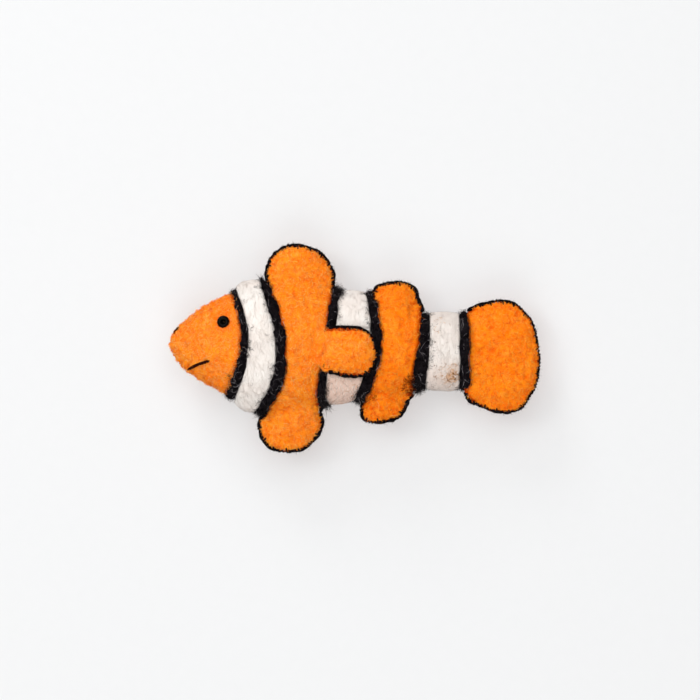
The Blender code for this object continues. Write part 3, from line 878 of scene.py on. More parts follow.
def feltPiece(name, look):
    sources = look["sources"]
    made = welded(sources, feltShape["grow"])
    if "pectoral" in look["edges"]:
        addFlapRoots(made)
    made = stuffed(name, made, [outlines[edge] for edge in look["edges"]],
                   [wallLine(sources[0], side) for side in look["over"]])
    mesh = skinned(name, made, feltShape["voxel"], feltShape["soften"])
    for root in look["roots"]:
        relax(mesh, rootWeight(corners(mesh), *root) * feltShape["blend"], feltShape["blendRounds"])
    overhang(mesh, sources[0], look["over"], feltShape)
    for edge in look["edges"]:
        letOut(mesh, outlines[edge], edgeLooks[edge])
    lumps(mesh, feltShape["lumps"])
    # sewn: painted shade in stitch holes and dents, and beside the ropes
    sewn = np.zeros(len(mesh.vertices))
    for edge in look["edges"]:
        line, spots = sewing[edge]
        stitches = edgeLooks[edge]["stitches"]
        pucker(mesh, line, spots, stitches)
        sewn = np.maximum(sewn, stitchHoleShade(mesh, line, spots, stitches))
    press(mesh, look["dents"])
    points = corners(mesh)
    # painted shade in each dent, darker the deeper it is
    for dent in look["dents"]:
        sewn = np.maximum(sewn, inDent(points, dent) * min(1.0, dent[-1] / feltShape["fullyShadedDent"]))
    turned = turnedDown(points, look)
    # the painted shade beside the ropes joins the painted shade of holes and dents
    note(mesh, "sewn", np.maximum(sewn, turned * 0.8))
    note(mesh, "turned", turned)
    flatten(mesh)
    piece = newPiece(name, mesh, look["finish"])
    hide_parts(*sources)
    return piece


felts = [feltPiece(name, look) for name, look in feltLooks.items()]
headFelt, trunkFelt, rearFelt, tailFelt = felts


bandLook = {"voxel": 0.00042, "soften": 6, "grow": 0.00010, "lumps": ((0.010, 0.00012), (0.004, 0.00004))}
ropeLook = {"voxel": 0.00036, "soften": 7, "grow": 0.00012, "over": {-1: 0.00015, 1: 0.00015},
            "swell": -0.00015, "soft": 0.0007,
            "lumps": ((0.0050, 0.00022), (0.0022, 0.00014), (0.0009, 0.00009))}
bandFinishes = {"head": whiteWool, "mid": bellyShadedWool, "tail": spottedWool}
tight = {"headBandFrontRope": 0.95, "tailBandFrontRope": 0.92, "tailBandRearRope": 0.965}
woolTints = {  # shares from belly to back and from front to rear: where each starts, and how fast it fades
    # under: painted shade and orange bounce light towards the belly
    "under": (0.42, 0.20),
    "soilUp": (0.95, 0.25),
    "soilBack": (0.62, 0.30),
    "soilAll": 0.4,           # under this share, the soil goes all the way across
    "smearUp": (0.22, 0.13),
    "smearBack": (0.72, 0.26),
}


def addFlow(mesh, name):  # where each point is on a slice: across it, and round it in turns
    points = corners(mesh)
    left, right = [np.interp(points[:, 1], *wallLine(name, side)) for side in (-1, 1)]
    across = (points[:, 0] - left) / np.maximum(right - left, 0.001)
    turn = np.arctan2(points[:, 2] - seamZ, points[:, 1]) / (2 * math.pi)
    flow = np.column_stack([across, turn * 1.2, across * 0])
    layer = mesh.attributes.new("flow", "FLOAT_VECTOR", "POINT")
    layer.data.foreach_set("vector", flow.ravel())
    low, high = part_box(name)
    share = (points[:, 1] - low.y) / (high.y - low.y)  # 0 at the belly, 1 at the back
    under, soilUp, soilBack = [(woolTints[tint][0] - way) / woolTints[tint][1]
                               for tint, way in (("under", share), ("soilUp", share), ("soilBack", across))]
    # painted belly shade
    note(mesh, "under", np.clip(under, 0, 1))
    note(mesh, "soil", np.clip(soilUp, 0, 1) * np.clip(soilBack + (share < woolTints["soilAll"]), 0, 1))
    smearUp, smearBack = woolTints["smearUp"], woolTints["smearBack"]
    smear = fade(share - smearUp[0], smearUp[1]) * fade(across - smearBack[0], smearBack[1])
    note(mesh, "smear", smear * (points[:, 2] > seamZ))


def tuck(mesh, source):  # the middle band and its ropes lie flat under the pectoral fins
    points = corners(mesh)
    tree = treeOf(source)
    pressed = 0.0003  # how far the wool is pressed in
    inside = points[:, 0] < flapHigh.x
    inside &= (points[:, 1] > flapLow.y - 0.0004) & (points[:, 1] < flapHigh.y + 0.0002)
    for k in np.where(inside)[0]:
        spot, normal, _, _ = tree.find_nearest(Vector(points[k]))
        most = spot - normal * pressed
        if (Vector(points[k]) - most).dot(normal) > 0:
            points[k] = most
    moveTo(mesh, points)


def woolPiece(name, source, finish, look):
    mesh = skinned(name, welded([source], look["grow"]), look["voxel"], look["soften"])
    addFlow(mesh, source)
    if name in tight:  # wound tighter than the body beside it
        points = corners(mesh)
        middle = points.mean(axis=0)
        points[:, 1:] = middle[1:] + (points[:, 1:] - middle[1:]) * tight[name]
        moveTo(mesh, points)
    if "over" in look:
        overhang(mesh, source, look["over"], look)
    lumps(mesh, look["lumps"])
    if name.startswith("midBand"):
        tuck(mesh, source)
    flatten(mesh)
    piece = newPiece(name, mesh, finish)
    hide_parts(source)
    return piece


bands = [woolPiece(part + "BandWool", part + "_band", finish, bandLook)
         for part, finish in bandFinishes.items()]
ropes = [woolPiece(f"{part}Band{end}Rope", f"{part}_band_{end.lower()}_rope", blackYarn, ropeLook)
         for part in bandFinishes for end in ("Front", "Rear")]


rimLook = {
    "tall": 0.0040,      # how far up and down a loop may reach from the seam
    "core": 0.00050,     # the yarn laid along the edge, and how far out it lies
    "coreOut": 0.00022,
    "wrap": 0.00028,
    "in": 0.00042,
    "out": 0.00052,
    "slant": 0.0013,
    "deepEvery": 4,      # every fourth loop goes deeper into the felt
    "deepen": 2.2,
    "far": 0.0040,       # skin farther than this from the seam isn't the fin's own
    "lost": 0.0012,      # height of a loop where the fin's skin isn't found
}
headSewing = {**rimLook, "tall": 0.0014, "core": 0, "wrap": 0.00019, "in": 0.0011, "out": 0.00012,
              "slant": 0.0010, "deepEvery": 1, "deepen": 1.0}
loopTaper = np.array([0.6, 0.85, 1, 1, 1, 1, 1, 1, 1, 0.85, 0.6])


def between(line, run, place):
    return np.array([np.interp(place, run, line[:, k]) for k in range(line.shape[1])])


def stitchPaths(line, spots, look, tree, levelZ):  # loops that wrap a felt edge
    draw = np.random.default_rng(60)
    run = runOf(line)
    out = lineNormals(line)
    last = len(loopTaper) - 1
    paths = []
    for number, spot in enumerate(spots):
        deep = look["in"] * draw.uniform(0.6, 1.3)
        if number % look["deepEvery"] == 0:
            deep *= look["deepen"]
        slant = look["slant"] * draw.uniform(0.5, 1.3)
        path = []
        for k in range(last + 1):
            turn = math.pi * k / last
            place = min(max(spot + slant * (k / last - 0.5), 0), run[-1])
            here = between(line, run, place)
            way = between(out, run, place)
            edge = here[:2] + way * (-deep + (deep + look["out"]) * math.sin(turn))
            inside = here[:2] - way * deep
            top = surfaceZ(tree, inside[0], inside[1], 1)
            low = surfaceZ(tree, inside[0], inside[1], -1)
            level = levelZ(here[0], here[1])
            if top is None or low is None or top - level > look["far"]:
                top = level + look["lost"]
            if low is None or level - low > look["far"]:
                low = level - look["lost"]
            top = min(top, level + look["tall"])
            low = max(low, level - look["tall"])
            z = level + ((top - level) if k <= last // 2 else (level - low)) * math.cos(turn)
            if k in (0, last):  # the ends go into the felt
                z += 0.0003 if k else -0.0003
            path.append((edge[0], edge[1], max(z, floorZ + look["wrap"])))
        paths.append(path)
    return np.array(paths)


def sewnEdge(name, line, spots, look, finish, tree, levelZ, thin=0.0):  # thin: the tail's far edge is finer
    paths = stitchPaths(line, spots, look, tree, levelZ)
    draw = np.random.default_rng(90)
    run = runOf(line)
    out = lineNormals(line)
    fat = look["wrap"] * draw.uniform(0.75, 1.2, (len(paths), 1)) * loopTaper[None]
    middle = [nearLine(path[5:6], line)[1][0] for path in paths]
    lean = np.array([between(out, run, place)[0] for place in middle])
    fat *= 1 - thin * np.clip(lean, 0, 1)[:, None]
    parts = [tubes(paths, fat, 7)]
    if look["core"]:
        finer = 1 - thin * np.clip(out[:, 0], 0, 1)
        further = out * (look["coreOut"] * finer)[:, None]
        core = np.column_stack([line + further, [levelZ(x, y) for x, y in line]])
        wobble = waves(core, 0.0025, 31) * 0.25 + 1
        parts.append(tubes(core[None], (look["core"] * wobble * finer)[None], 8))
    return newPiece(name, meshOf(name, parts), finish)


def seamLevel(x, y):
    return seamZ


def flapLevel(name):  # the height of the edge of a pectoral fin over the bands under it
    points = corners(nodes[name].data)

    def level(x, y):
        gap = np.hypot(points[:, 0] - x, points[:, 1] - y)
        return float(points[gap < gap.min() + 0.0012][:, 2].mean())
    return level


edgeSearch = {"ahead": 0.0022, "aside": 0.0004, "high": 0.0025, "rounds": 6}  # how far the edge may be


def fitted(line, felt, levelZ):  # a fin's outline moved to where the edge of its felt really is
    points = corners(felt.data)
    out = lineNormals(line)
    edge = np.zeros(len(line))
    for k, (x, y) in enumerate(line):
        apart = points[:, :2] - (x, y)
        near = (np.abs(apart) < 0.003).all(axis=1)
        near &= np.abs(points[:, 2] - levelZ(x, y)) < edgeSearch["high"]
        ahead = apart[near] @ out[k]
        aside = apart[near] @ np.array([-out[k][1], out[k][0]])
        reach = ahead[(np.abs(aside) < edgeSearch["aside"]) & (ahead < edgeSearch["ahead"])]
        edge[k] = reach.max() if len(reach) else 0.0
    for _ in range(edgeSearch["rounds"]):
        edge[1:-1] = (edge[:-2] + 2 * edge[1:-1] + edge[2:]) / 4
    return line + out * edge[:, None]


feltTrees = {felt: meshTree(felt.data) for felt in felts}
rims = []
for rim, edge, felt, node in (("dorsalRim", "dorsal", trunkFelt, "dorsal_fin_front_edging"),
                              ("pelvicRim", "pelvic", trunkFelt, "pelvic_fin_edging"),
                              ("rearDorsalRim", "rearDorsal", rearFelt, "dorsal_fin_rear_edging"),
                              ("analRim", "anal", rearFelt, "anal_fin_edging"),
                              ("tailRim", "tail", tailFelt, "tail_fin_edging"),
                              ("leftPectoralRim", "pectoral", trunkFelt, "pectoral_fin_left_edging"),
                              ("rightPectoralRim", "pectoral", trunkFelt, "pectoral_fin_right_edging")):
    flap = edge == "pectoral"
    levelZ = flapLevel(node) if flap else seamLevel
    tree = treeOf(node.removesuffix("_edging")) if flap else feltTrees[felt]
    line, spots = sewing[edge]
    doubled = np.sort(np.concatenate([spots, (spots[:-1] + spots[1:]) / 2]))  # two loops to each dent
    rims.append(sewnEdge(rim, fitted(line, felt, levelZ), doubled, rimLook, blackYarn, tree, levelZ,
                         0.4 if edge == "tail" else 0.0))
    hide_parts(node)
headTree = feltTrees[headFelt]
sewnEdge("headStitching", *sewing["head"], headSewing, orangeThread, headTree, seamLevel)


beadLook = {"high": 0.0017, "around": 48, "sunk": 0.0003}
beadProfile = [  # radius, and height as a share of the bead's own, from its hole to its foot
    (0.00002, 0.30), (0.00042, 0.34), (0.000462, 0.66), (0.00066, 0.86), (0.00095, 0.98), (0.00130, 0.96),
    (0.00162, 0.80), (0.00184, 0.52), (0.00186, 0.30), (0.00160, 0.08), (0.00110, 0.0), (0.00002, 0.0),
]


def bead(name, node, side):
    middle = middleOf(node)
    ground = surfaceZ(headTree, middle.x, middle.y, side) - side * beadLook["sunk"]
    turns = [2 * math.pi * k / beadLook["around"] for k in range(beadLook["around"])]
    made = bmesh.new()
    addGrid(made, [[(middle.x + radius * math.cos(turn), middle.y + radius * math.sin(turn),
                     ground + side * height * beadLook["high"]) for turn in turns]
                   for radius, height in beadProfile])
    bmesh.ops.recalc_face_normals(made, faces=made.faces)
    mesh = bpy.data.meshes.new(name)
    made.to_mesh(mesh)
    made.free()
    piece = newPiece(name, mesh, blackBead)
    rounded = piece.modifiers.new("round", "SUBSURF")
    rounded.levels = 1
    rounded.render_levels = 1
    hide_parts(node)


threadLook = {"ply": 0.00029, "twist": 0.0018, "lift": 0.00026, "sink": 0.0010}


def twistedThread(name, path, node):  # two plies turned round each other
    smooth = evenLine(path, 0.00012)
    run = runOf(smooth)
    share = run / run[-1]
    radius = threadLook["ply"] * np.clip(0.55 + 3.0 * np.minimum(share, 1 - share), 0.5, 1.0)
    side, up = frameOf(smooth[None])
    parts = []
    for start in (0, math.pi):
        angle = 2 * math.pi * run / threadLook["twist"] + start
        offset = side[0] * np.cos(angle)[:, None] + up[0] * np.sin(angle)[:, None]
        parts.append(tubes((smooth + offset * threadLook["ply"] * 0.75)[None], radius[None], 7))
    piece = newPiece(name, meshOf(name, parts), darkThread)
    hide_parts(node)


def mouthPath(node, side):  # a stitch lying on the felt, its ends drawn into it
    line = evenLine(threadLine(node), 0.0004)
    path = []
    for k, (x, y, _) in enumerate(line):
        z = surfaceZ(headTree, x, y, side)
        share = k / (len(line) - 1)
        sink = threadLook["sink"] * max(0.0, 1 - min(share, 1 - share) / 0.06)
        path.append((x, y, (seamZ if z is None else z) + side * (threadLook["lift"] - sink)))
    return np.array(path)


def snoutPath(node):  # a stitch over the tip of the snout
    path = evenLine(threadLine(node), 0.0004)
    path[:, :2] += np.array([0.00062, -0.00042])
    path[:, 2] = [(surfaceZ(headTree, x, y, 1) or seamZ + 0.0010) + 0.0001 for x, y in path[:, :2]]
    return path


bead("leftEyeBead", "eye_left", 1)
bead("rightEyeBead", "eye_right", -1)
twistedThread("leftMouthThread", mouthPath("mouth_left", 1), "mouth_left")
twistedThread("rightMouthThread", mouthPath("mouth_right", -1), "mouth_right")
twistedThread("snoutThread", snoutPath("snout_stitch"), "snout_stitch")
print("eyes and threads ready")


bakeLook = {"margin": 0.02, "share": 0.95, "patch": 0.003}  # shares of the whole bake


def bakeSpots(mesh, roots, per):  # each fibre gets a small patch at its root's place on the unrolled skin
    around = np.arctan2(roots[:, 2] - seamZ, roots[:, 1]) / (2 * math.pi) + 0.5
    low, high = cadBounds
    margin, share, patch = bakeLook["margin"], bakeLook["share"], bakeLook["patch"]
    u = margin + share * (roots[:, 0] - low.x) / (high.x - low.x)
    v = margin + share * around
    layer = mesh.uv_layers.new(name="OFBake")
    vertexOf = np.empty(len(mesh.loops), dtype=np.int32)
    mesh.loops.foreach_get("vertex_index", vertexOf)
    fibre = vertexOf // per
    place = (vertexOf % per) / per
    wave = np.arange(len(vertexOf)) % 3 / 3
    flat = np.column_stack([u[fibre] + patch * place, v[fibre] + patch * wave])
    layer.data.foreach_set("uv", flat.ravel().astype(np.float32))


def scatter(mesh, count, draw):  # points spread evenly over a skin, with the way out at each
    points = corners(mesh)
    mesh.calc_loop_triangles()
    tris = np.empty(len(mesh.loop_triangles) * 3, dtype=np.int32)
    mesh.loop_triangles.foreach_get("vertices", tris)
    a, b, c = [points[corner] for corner in tris.reshape(-1, 3).T]
    cross = np.cross(b - a, c - a)
    area = np.linalg.norm(cross, axis=1)
    chosen = draw.choice(len(a), count, p=area / area.sum())
    s = np.sqrt(draw.random(count))[:, None]
    t = draw.random(count)[:, None]
    where = a[chosen] * (1 - s) + b[chosen] * (s * (1 - t)) + c[chosen] * (s * t)
    return where, cross[chosen] / area[chosen][:, None]


def curls(roots, normals, look, draw, lead):  # curly paths lying along a skin
    count = len(roots)
    rings = look["rings"]
    length = look["length"] * draw.uniform(0.5, 1.4, count)
    step = length / (rings - 1)
    guess = draw.normal(size=(count, 3))
    if lead is not None:
        guess = lead + guess * look["stray"]
    way = guess - normals * (guess * normals).sum(axis=1)[:, None]
    way /= np.linalg.norm(way, axis=1)[:, None] + 1e-12
    across = np.cross(normals, way)
    bend = draw.normal(size=count) * look["curl"]
    wave = draw.uniform(0, 2 * math.pi, count)
    angle = np.zeros(count)
    paths = np.empty((count, rings, 3))
    here = roots.copy()
    stand = look["stand"] * draw.uniform(0.2, 1.6, count)
    for k in range(rings):
        share = k / (rings - 1)
        rise = 4 * share * (1 - share) * stand if look["arch"] else share ** 1.2 * stand
        sink = look["sink"] * (1 if look["arch"] else 1 - share)
        paths[:, k] = here + normals * (rise - sink)[:, None]
        angle = angle + (bend * step / 0.001) + np.sin(wave + k * 1.3) * look["wiggle"]
        here = here + (way * np.cos(angle)[:, None] + across * np.sin(angle)[:, None]) * step[:, None]
    return paths


def hug(paths, tree, look):  # lays fibres on the skin where the skin curves away from them
    count, rings, _ = paths.shape
    for i in range(count):
        for k in range(1, rings):
            point = Vector(paths[i, k])
            spot, normal, _, _ = tree.find_nearest(point)
            height = (point - spot).dot(normal)
            most = look["stand"] * (1.4 if look["arch"] else 1.6 * k / (rings - 1)) + 0.00006
            if height > most:
                paths[i, k] = spot + normal * most
            elif height < 0.00002 and k < rings - 1:
                paths[i, k] = spot + normal * 0.00004


def grow(skin, roots, normals, look, draw, lead):
    paths = curls(roots, normals, look, draw, lead)
    if look["hug"]:
        hug(paths, meshTree(skin.data), look)
    return paths, roots


def fibrePiece(name, grown, look, finish, draw):
    paths, roots = [np.concatenate(both) for both in zip(*grown)]
    paths[..., 2] = np.maximum(paths[..., 2], floorZ + look["thick"])
    taper = np.array([0.0] + [1.0] * (look["rings"] - 3) + [0.7, 0.0])
    radii = look["thick"] * draw.uniform(0.5, 1.5, (len(paths), 1)) * taper[None]
    verts, faces, per = tubes(paths, radii, 3)
    mesh = meshOf(name, [(verts, faces)])
    if "bright" in look:  # a few light fibres among dark ones
        isLight = draw.random(len(paths)) < look["bright"]
        light = draw.uniform(0.15, 1.0, len(paths)) ** 2
        shade = np.where(isLight, light, draw.uniform(0.0, 0.04, len(paths)))
    else:
        shade = draw.beta(0.8, look["dim"] * 0.67, len(paths))
    note(mesh, "shade", np.repeat(shade, per))
    bakeSpots(mesh, roots, per)
    newPiece(name, mesh, finish)


def shadeAtRoots(skin, roots):  # how much painted shade of stitch holes, dents and rope edges lies at each root
    if "sewn" not in skin.data.attributes:
        return np.zeros(len(roots))
    sewn = np.empty(len(skin.data.vertices), dtype=np.float32)
    skin.data.attributes["sewn"].data.foreach_get("value", sewn)
    index = KDTree(len(sewn))
    for k, point in enumerate(corners(skin.data)):
        index.insert(point, k)
    index.balance()
    return sewn[[index.find(root)[1] for root in roots]]


def areaOf(skin):
    return sum(p.area for p in skin.data.polygons)


facing = {  # how far a root faces along the body, 0 for not at all and 1 for straight along it
    "edge": (0.35, 0.97),    # at the two edges of a rope
    "band": 0.5,             # not on the hidden walls of a band
}


def coat(name, skins, look, finish, seed):  # fibres all over some skins
    draw = np.random.default_rng(seed)
    grown = []
    areas = np.array([areaOf(skin) for skin in skins])
    shares = np.maximum(1, (look["count"] * areas / areas.sum()).astype(int))
    for skin, count in zip(skins, shares):
        roots, normals = scatter(skin.data, count, draw)
        keep = np.ones(len(roots), dtype=bool)
        lead = None
        if look["hug"]:
            # fewer fibres where the felt is painted shaded, so the shade shows
            keep &= shadeAtRoots(skin, roots) < draw.uniform(0.1, 0.8, len(roots))
            keep &= (roots[:, 1] > look["above"]) & (roots[:, 1] < look["below"])
        if look["beside"]:  # only close to a rope, nearer in some places than in others
            apart = np.array([ropeTree.find_nearest(Vector(root))[3] for root in roots])
            reach = look["beside"] * (1 + 0.6 * waves(roots, 0.0030, 77))
            keep &= apart < reach * draw.uniform(0.15, 1.0, len(roots))
            keep &= np.abs(normals[:, 0]) < facing["band"]
        if look["lead"] == "out":
            least, most = facing["edge"]
            keep &= (np.abs(normals[:, 0]) > least) & (np.abs(normals[:, 0]) < most)
        roots, normals = roots[keep], normals[keep]
        if look["lead"] == "out":  # leaves the two edges of a rope, over the wool and felt beside it
            lead = np.sign(normals) * (1.0, 0.0, 0.0)
        if look["lead"] == "round":  # combed round the body
            lead = np.cross(normals, np.array([1.0, 0.0, 0.0]))
            lead *= np.where(draw.random(len(roots)) > 0.5, 1, -1)[:, None]
            lead += np.array([look["skew"], 0, 0])
        grown.append(grow(skin, roots, normals, look, draw, lead))
    fibrePiece(name, grown, look, finish, draw)


tuftShape = {
    "tries": 40000,      # roots drawn on a skin to find those near a spot
    "below": 0.0045,     # how far under the seam a tuft may start
    "usual": 0.0015,     # the size of a spot whose fibres have the plain length
}


def tufts(name, spots, look, finish, seed):  # wool that stands off at single spots
    draw = np.random.default_rng(seed)
    grown = []
    for skin, x, y, size, count, way in spots:
        roots, normals = scatter(skin.data, tuftShape["tries"], draw)
        near = np.hypot(roots[:, 0] - x, roots[:, 1] - y) < size
        near &= (roots[:, 2] > seamZ - tuftShape["below"]) & (normals[:, 2] > look["upper"])
        near = np.where(near)[0][:count]
        lead = np.tile(np.array(way, dtype=float), (len(near), 1))
        own = {**look, "length": look["length"] * (0.6 + 0.4 * size / tuftShape["usual"])}
        grown.append(grow(skin, roots[near], normals[near], own, draw, lead))
    fibrePiece(name, grown, look, finish, draw)


fibre = {  # what each kind of fibre starts from
    "rings": 5,          # points along a fibre
    "sink": 0.00003,     # how deep its root is
    "arch": False,       # both ends in the skin, or one end free
    "hug": False,        # laid down on the skin
    "lead": "",          # out: away from a rope; round: round the body
    "stray": 1.0,        # how far it strays from its lead
    "skew": 0.0,
    "dim": 1.3,          # more makes more of them dark
    "above": -1, "below": 1, "upper": -2, "beside": 0,   # where they may grow
}
lying = {**fibre, "arch": True, "hug": True}
feltHair = {**lying, "count": 24000, "length": 0.0021, "curl": 0.50, "wiggle": 0.40, "stand": 0.00020,
            "thick": 0.000050}
feltHalo = {**fibre, "count": 6600, "length": 0.0010, "curl": 0.9, "wiggle": 0.5, "stand": 0.00050,
            "thick": 0.000022}
bandHair = {**lying, "count": 7000, "length": 0.0026, "curl": 0.20, "wiggle": 0.18, "stand": 0.00009,
            "sink": 0.00002, "thick": 0.000030, "lead": "round", "stray": 0.25, "dim": 0.9}
ropeHair = {**lying, "count": 7200, "length": 0.0036, "rings": 6, "curl": 0.35, "wiggle": 0.30,
            "stand": 0.00035, "sink": 0.00002, "thick": 0.000034, "lead": "round", "stray": 0.45,
            "skew": 0.45, "bright": 0.12}
ropeHalo = {**fibre, "count": 9000, "length": 0.0019, "curl": 1.1, "wiggle": 0.6, "stand": 0.00080,
            "thick": 0.000026, "bright": 0.07}
edgeWool = {**fibre, "count": 5500, "length": 0.0012, "curl": 0.9, "wiggle": 0.5, "stand": 0.00060,
            "thick": 0.000036, "lead": "out", "stray": 0.45, "bright": 0.10}
rimHalo = {**fibre, "count": 6600, "length": 0.0011, "curl": 1.2, "wiggle": 0.6, "stand": 0.00040,
           "thick": 0.000022, "bright": 0.08}

ropeParts = bmesh.new()
for rope in ropes:
    ropeParts.from_mesh(rope.data)
ropeTree = BVHTree.FromBMesh(ropeParts)
ropeParts.free()
feltArea = sum(areaOf(felt) for felt in felts)
for seed, (felt, finish) in enumerate(zip(felts, (orangeFuzz, orangeFuzz, deepFuzz, deepFuzz))):
    count = int(feltHair["count"] * (areaOf(felt) / feltArea))
    coat(felt.name + "Hair", [felt], {**feltHair, "count": count}, finish, 200 + seed)
coat("feltHalo", felts, feltHalo, orangeFuzz, 210)
coat("headHalo", felts[:1], {**feltHalo, "count": 2300, "length": 0.0015, "thick": 0.000034}, paleFuzz, 211)
coat("bandHair", bands[::2], bandHair, whiteFuzz, 220)
# pink fibres on the lower part of the middle band: painted shade and orange bounce light
coat("blushHair", bands[1:2], {**bandHair, "count": 3600, "thick": 0.000048, "dim": 0.55, "below": -0.006},
     bellyShadedFuzz, 221)
coat("middleBandHair", bands[1:2], {**bandHair, "count": 3200, "above": -0.006}, whiteFuzz, 222)
coat("frontRopeHair", ropes[:3], ropeHair, blackFuzz, 230)
coat("rearRopeHair", ropes[3:], {**ropeHair, "count": 5200}, blackFuzz, 231)
coat("ropeHalo", ropes, ropeHalo, blackFuzz, 240)
coat("ropeEdgeWool", ropes, edgeWool, blackFuzz, 245)
coat("bandEdgeWool", bands, {**edgeWool, **lying, "count": 110000, "length": 0.0010, "stand": 0.00012,
                             "thick": 0.000032, "beside": 0.0009}, blackFuzz, 246)
coat("rimHalo", rims, rimHalo, blackFuzz, 250)

looseWool = {**fibre, "length": 0.0021, "rings": 6, "curl": 1.5, "wiggle": 0.80, "stand": 0.00090,
             "thick": 0.000032, "stray": 0.90, "bright": 0.10}
flaredWool = {**looseWool, "length": 0.0028, "curl": 0.9, "stray": 0.55, "thick": 0.000034}
spreadWool = {**looseWool, "length": 0.0013, "curl": 0.9, "stand": 0.00025, "arch": True, "thick": 0.000040,
              "upper": 0.4}
blend = {**fibre, "length": 0.0017, "rings": 6, "curl": 1.3, "wiggle": 0.6, "stand": 0.00035,
         "thick": 0.000042, "arch": True, "dim": 2.6}
longCurls = {**lying, "length": 0.0036, "rings": 9, "curl": 0.75, "wiggle": 0.30, "stand": 0.00060,
             "sink": 0.00002, "thick": 0.000032, "stray": 1.2, "bright": 0.85}
specks = {**fibre, "length": 0.0009, "rings": 6, "curl": 1.4, "wiggle": 0.5, "stand": 0.00025,
          "sink": 0.00002, "thick": 0.000050, "arch": True, "stray": 1.5, "dim": 1.2}
headBand, midBand, tailBand = bands
frontHead, rearHead, frontMid, rearMid, frontTail, rearTail = ropes
onRope = (0.2, 1.0, 0.1)
overBand = (0.9, 0.5, 0.1)
onBand = (0.2, 0.6, 0.1)
tufts("looseRopeWool", [  # skin, x, y, size of the spot, how many, which way they lie
    (rearHead, -0.0293, 0.0186, 0.0012, 30, (-0.2, 1.0, 0.2)),
    (rearHead, -0.0285, -0.0196, 0.0016, 140, (-0.3, -1.0, 0.0)),
    (frontMid, -0.0052, 0.0160, 0.0018, 260, (1.0, 0.5, 0.1)),
    (frontMid, -0.0082, -0.0148, 0.0026, 620, (0.6, -0.9, 0.0)),
    (rearMid, 0.0022, 0.0150, 0.0016, 40, (-0.5, 0.9, 0.2)),
    (rearMid, 0.0010, -0.0140, 0.0024, 460, (0.0, -1.0, 0.0)),
    (frontTail, 0.0215, 0.0098, 0.0014, 50, (0.3, 0.9, 0.2)),
    (frontTail, 0.0202, -0.0122, 0.0022, 360, (-0.6, -0.8, 0.1)),
    (rearTail, 0.0310, 0.0098, 0.0014, 40, (-0.3, 0.8, 0.2)),
    (rearTail, 0.0312, -0.0124, 0.0014, 60, (0.0, -1.0, 0.0)),
    (headFelt, -0.0371, -0.0087, 0.0005, 16, (0.5, 0.8, 0.2)),
], looseWool, blackFuzz, 260)
tufts("flaredRopeWool", [
    (frontMid, -0.0072, -0.0120, 0.0022, 200, (1.0, -0.1, 0.1)),
    (frontMid, -0.0070, -0.0150, 0.0024, 320, (1.0, -0.4, 0.1)),
    (frontMid, -0.0050, 0.0158, 0.0016, 160, (1.0, 0.2, 0.1)),
    (frontTail, 0.0196, -0.0128, 0.0018, 160, (-0.5, -0.7, 0.1)),
], flaredWool, blackFuzz, 266)
tufts("spreadRopeWool", [  # black wool lying over the edge of the first band
    (headBand, -0.0320, 0.0030, 0.0008, 120, onRope),
    (headBand, -0.0317, 0.0012, 0.0010, 160, onRope),
    (headBand, -0.0317, -0.0006, 0.0010, 160, onRope),
    (headBand, -0.0321, -0.0024, 0.0009, 120, onRope),
], spreadWool, blackFuzz, 267)
tufts("blendedWool", [  # black and orange wool felted into each other beside two ropes
    (rearFelt, 0.0172, -0.0110, 0.0030, 520, (-0.5, 0.9, 0.1)),
    (rearFelt, 0.0185, -0.0060, 0.0018, 90, (-0.5, 0.9, 0.1)),
    (trunkFelt, -0.0094, -0.0062, 0.0013, 110, (0.2, 0.9, 0.2)),
    (rearFelt, 0.0046, -0.0150, 0.0014, 60, (0.6, 0.6, 0.1)),
], blend, blendedFuzz, 265)
tufts("paleRopeCurls", [
    (frontHead, -0.0330, -0.0020, 0.0030, 62, (0.2, 1.0, 0.2)),
    (frontHead, -0.0345, -0.0110, 0.0030, 44, (0.3, 1.0, 0.2)),
    (rearHead, -0.0222, 0.0040, 0.0030, 34, (0.1, 1.0, 0.2)),
    (rearHead, -0.0240, -0.0120, 0.0030, 42, (0.3, 1.0, 0.2)),
    (frontMid, -0.0076, 0.0080, 0.0030, 16, (0.1, 1.0, 0.2)),
    (frontTail, 0.0212, -0.0020, 0.0040, 12, (0.1, 1.0, 0.2)),
], longCurls, blackFuzz, 261)
tufts("paleFeltCurls", [
    (trunkFelt, -0.0175, 0.0030, 0.0040, 22, (0.3, 1.0, 0.2)),
    (trunkFelt, -0.0165, -0.0080, 0.0045, 34, (0.3, 1.0, 0.2)),
    (trunkFelt, -0.0180, -0.0240, 0.0050, 20, (0.8, 0.6, 0.2)),
    (trunkFelt, -0.0010, -0.0010, 0.0050, 16, (0.8, 0.6, 0.2)),
    (rearFelt, 0.0090, -0.0190, 0.0040, 12, (0.8, 0.5, 0.2)),
], {**longCurls, "length": 0.0016, "bright": 1.0}, paleFuzz, 263)
tufts("strayBandHairs", [
    (headBand, -0.0328, 0.0100, 0.0025, 9, overBand),
    (headBand, -0.0318, -0.0010, 0.0030, 12, overBand),
    (headBand, -0.0325, -0.0120, 0.0030, 14, overBand),
    (headBand, -0.0250, -0.0060, 0.0030, 10, overBand),
    (midBand, -0.0055, 0.0120, 0.0020, 6, overBand),
    (midBand, -0.0040, -0.0130, 0.0022, 12, overBand),
    (tailBand, 0.0235, -0.0040, 0.0024, 9, overBand),
    (tailBand, 0.0238, -0.0100, 0.0024, 14, overBand),
], {**longCurls, "length": 0.0011, "thick": 0.000016, "bright": 0.65}, blackFuzz, 264)
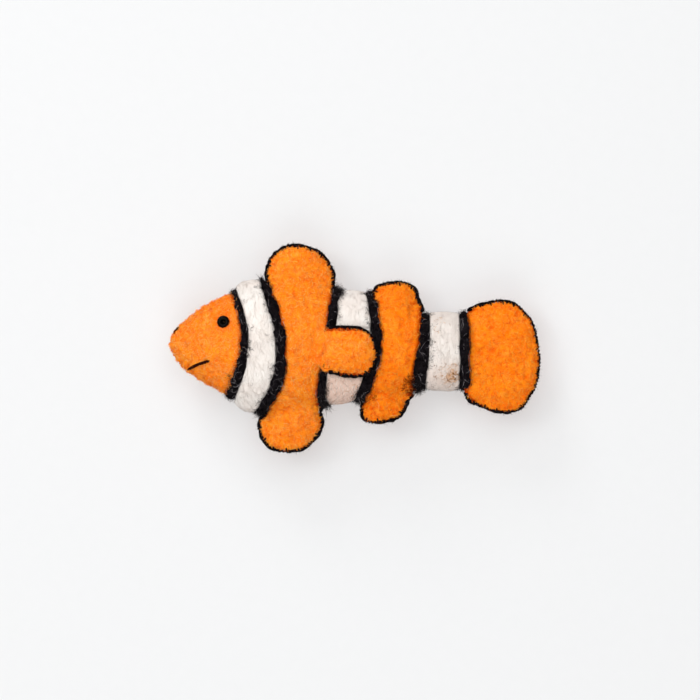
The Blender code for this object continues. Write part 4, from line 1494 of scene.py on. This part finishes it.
tufts("brownBandSpecks", [
    (tailBand, 0.0287, -0.0086, 0.0018, 75, onBand),
    (tailBand, 0.0270, -0.0078, 0.0040, 46, onBand),
    (tailBand, 0.0250, 0.0060, 0.0030, 20, onBand),
    (midBand, 0.0000, -0.0130, 0.0024, 16, onBand),
], specks, brownFuzz, 262)
print("fibres ready")


stage = {
    "lens": 180.0,
    "sensor": 36.0,
    "seenWidth": 0.2081,      # width of the view at the height of the seam
    "over": (-0.0016, -0.0007),
    "floorSize": 3.0,
    "underToy": 0.00005,      # gap between the floor and the toy's lowest wool
    "skyStrength": 0.25,
    "lamps": {                # power, place, size
        "wideSoftbox": (12.8, (-0.06, 0.36, 1.20), 1.40),
        "sideSoftbox": (2.4, (-0.62, 0.26, 0.90), 0.36),
        "nearSoftbox": (6.2, (-0.05, -0.85, 0.95), 0.90),
        "lowSoftbox": (4.4, (-0.42, 0.95, 0.50), 0.35),
    },
}


def addFloor():
    mesh = bpy.data.meshes.new("studioFloor")
    far = stage["floorSize"] / 2
    mesh.from_pydata([(-far, -far, 0), (far, -far, 0), (far, far, 0), (-far, far, 0)], [], [(0, 1, 2, 3)])
    mesh.materials.append(paperFinish("studioPaper"))
    floor = linked("studioFloor", mesh)
    floor.location.z = floorZ - stage["underToy"]


def addCamera():
    lens = bpy.data.cameras.new("studioCamera")
    lens.lens = stage["lens"]
    lens.sensor_width = stage["sensor"]
    camera = linked("studioCamera", lens)
    camera.location = (*stage["over"], seamZ + stage["seenWidth"] * stage["lens"] / stage["sensor"])
    bpy.context.scene.camera = camera


def addLight():
    for name, (power, place, size) in stage["lamps"].items():
        light = bpy.data.lights.new(name, "AREA")
        light.energy = power
        light.size = size
        lamp = linked(name, light)
        lamp.location = place
        lamp.rotation_euler = (-lamp.location).to_track_quat("-Z", "Y").to_euler()
    sky = bpy.data.worlds.new("studioSky")
    sky.use_nodes = True
    background = sky.node_tree.nodes["Background"]
    background.inputs["Color"].default_value = (1.0, 1.0, 1.0, 1.0)
    background.inputs["Strength"].default_value = stage["skyStrength"]
    bpy.context.scene.world = sky


addFloor()
addCamera()
addLight()
bpy.context.scene.view_settings.view_transform = "Standard"
bpy.context.scene.view_settings.look = "None"
print("stage ready")
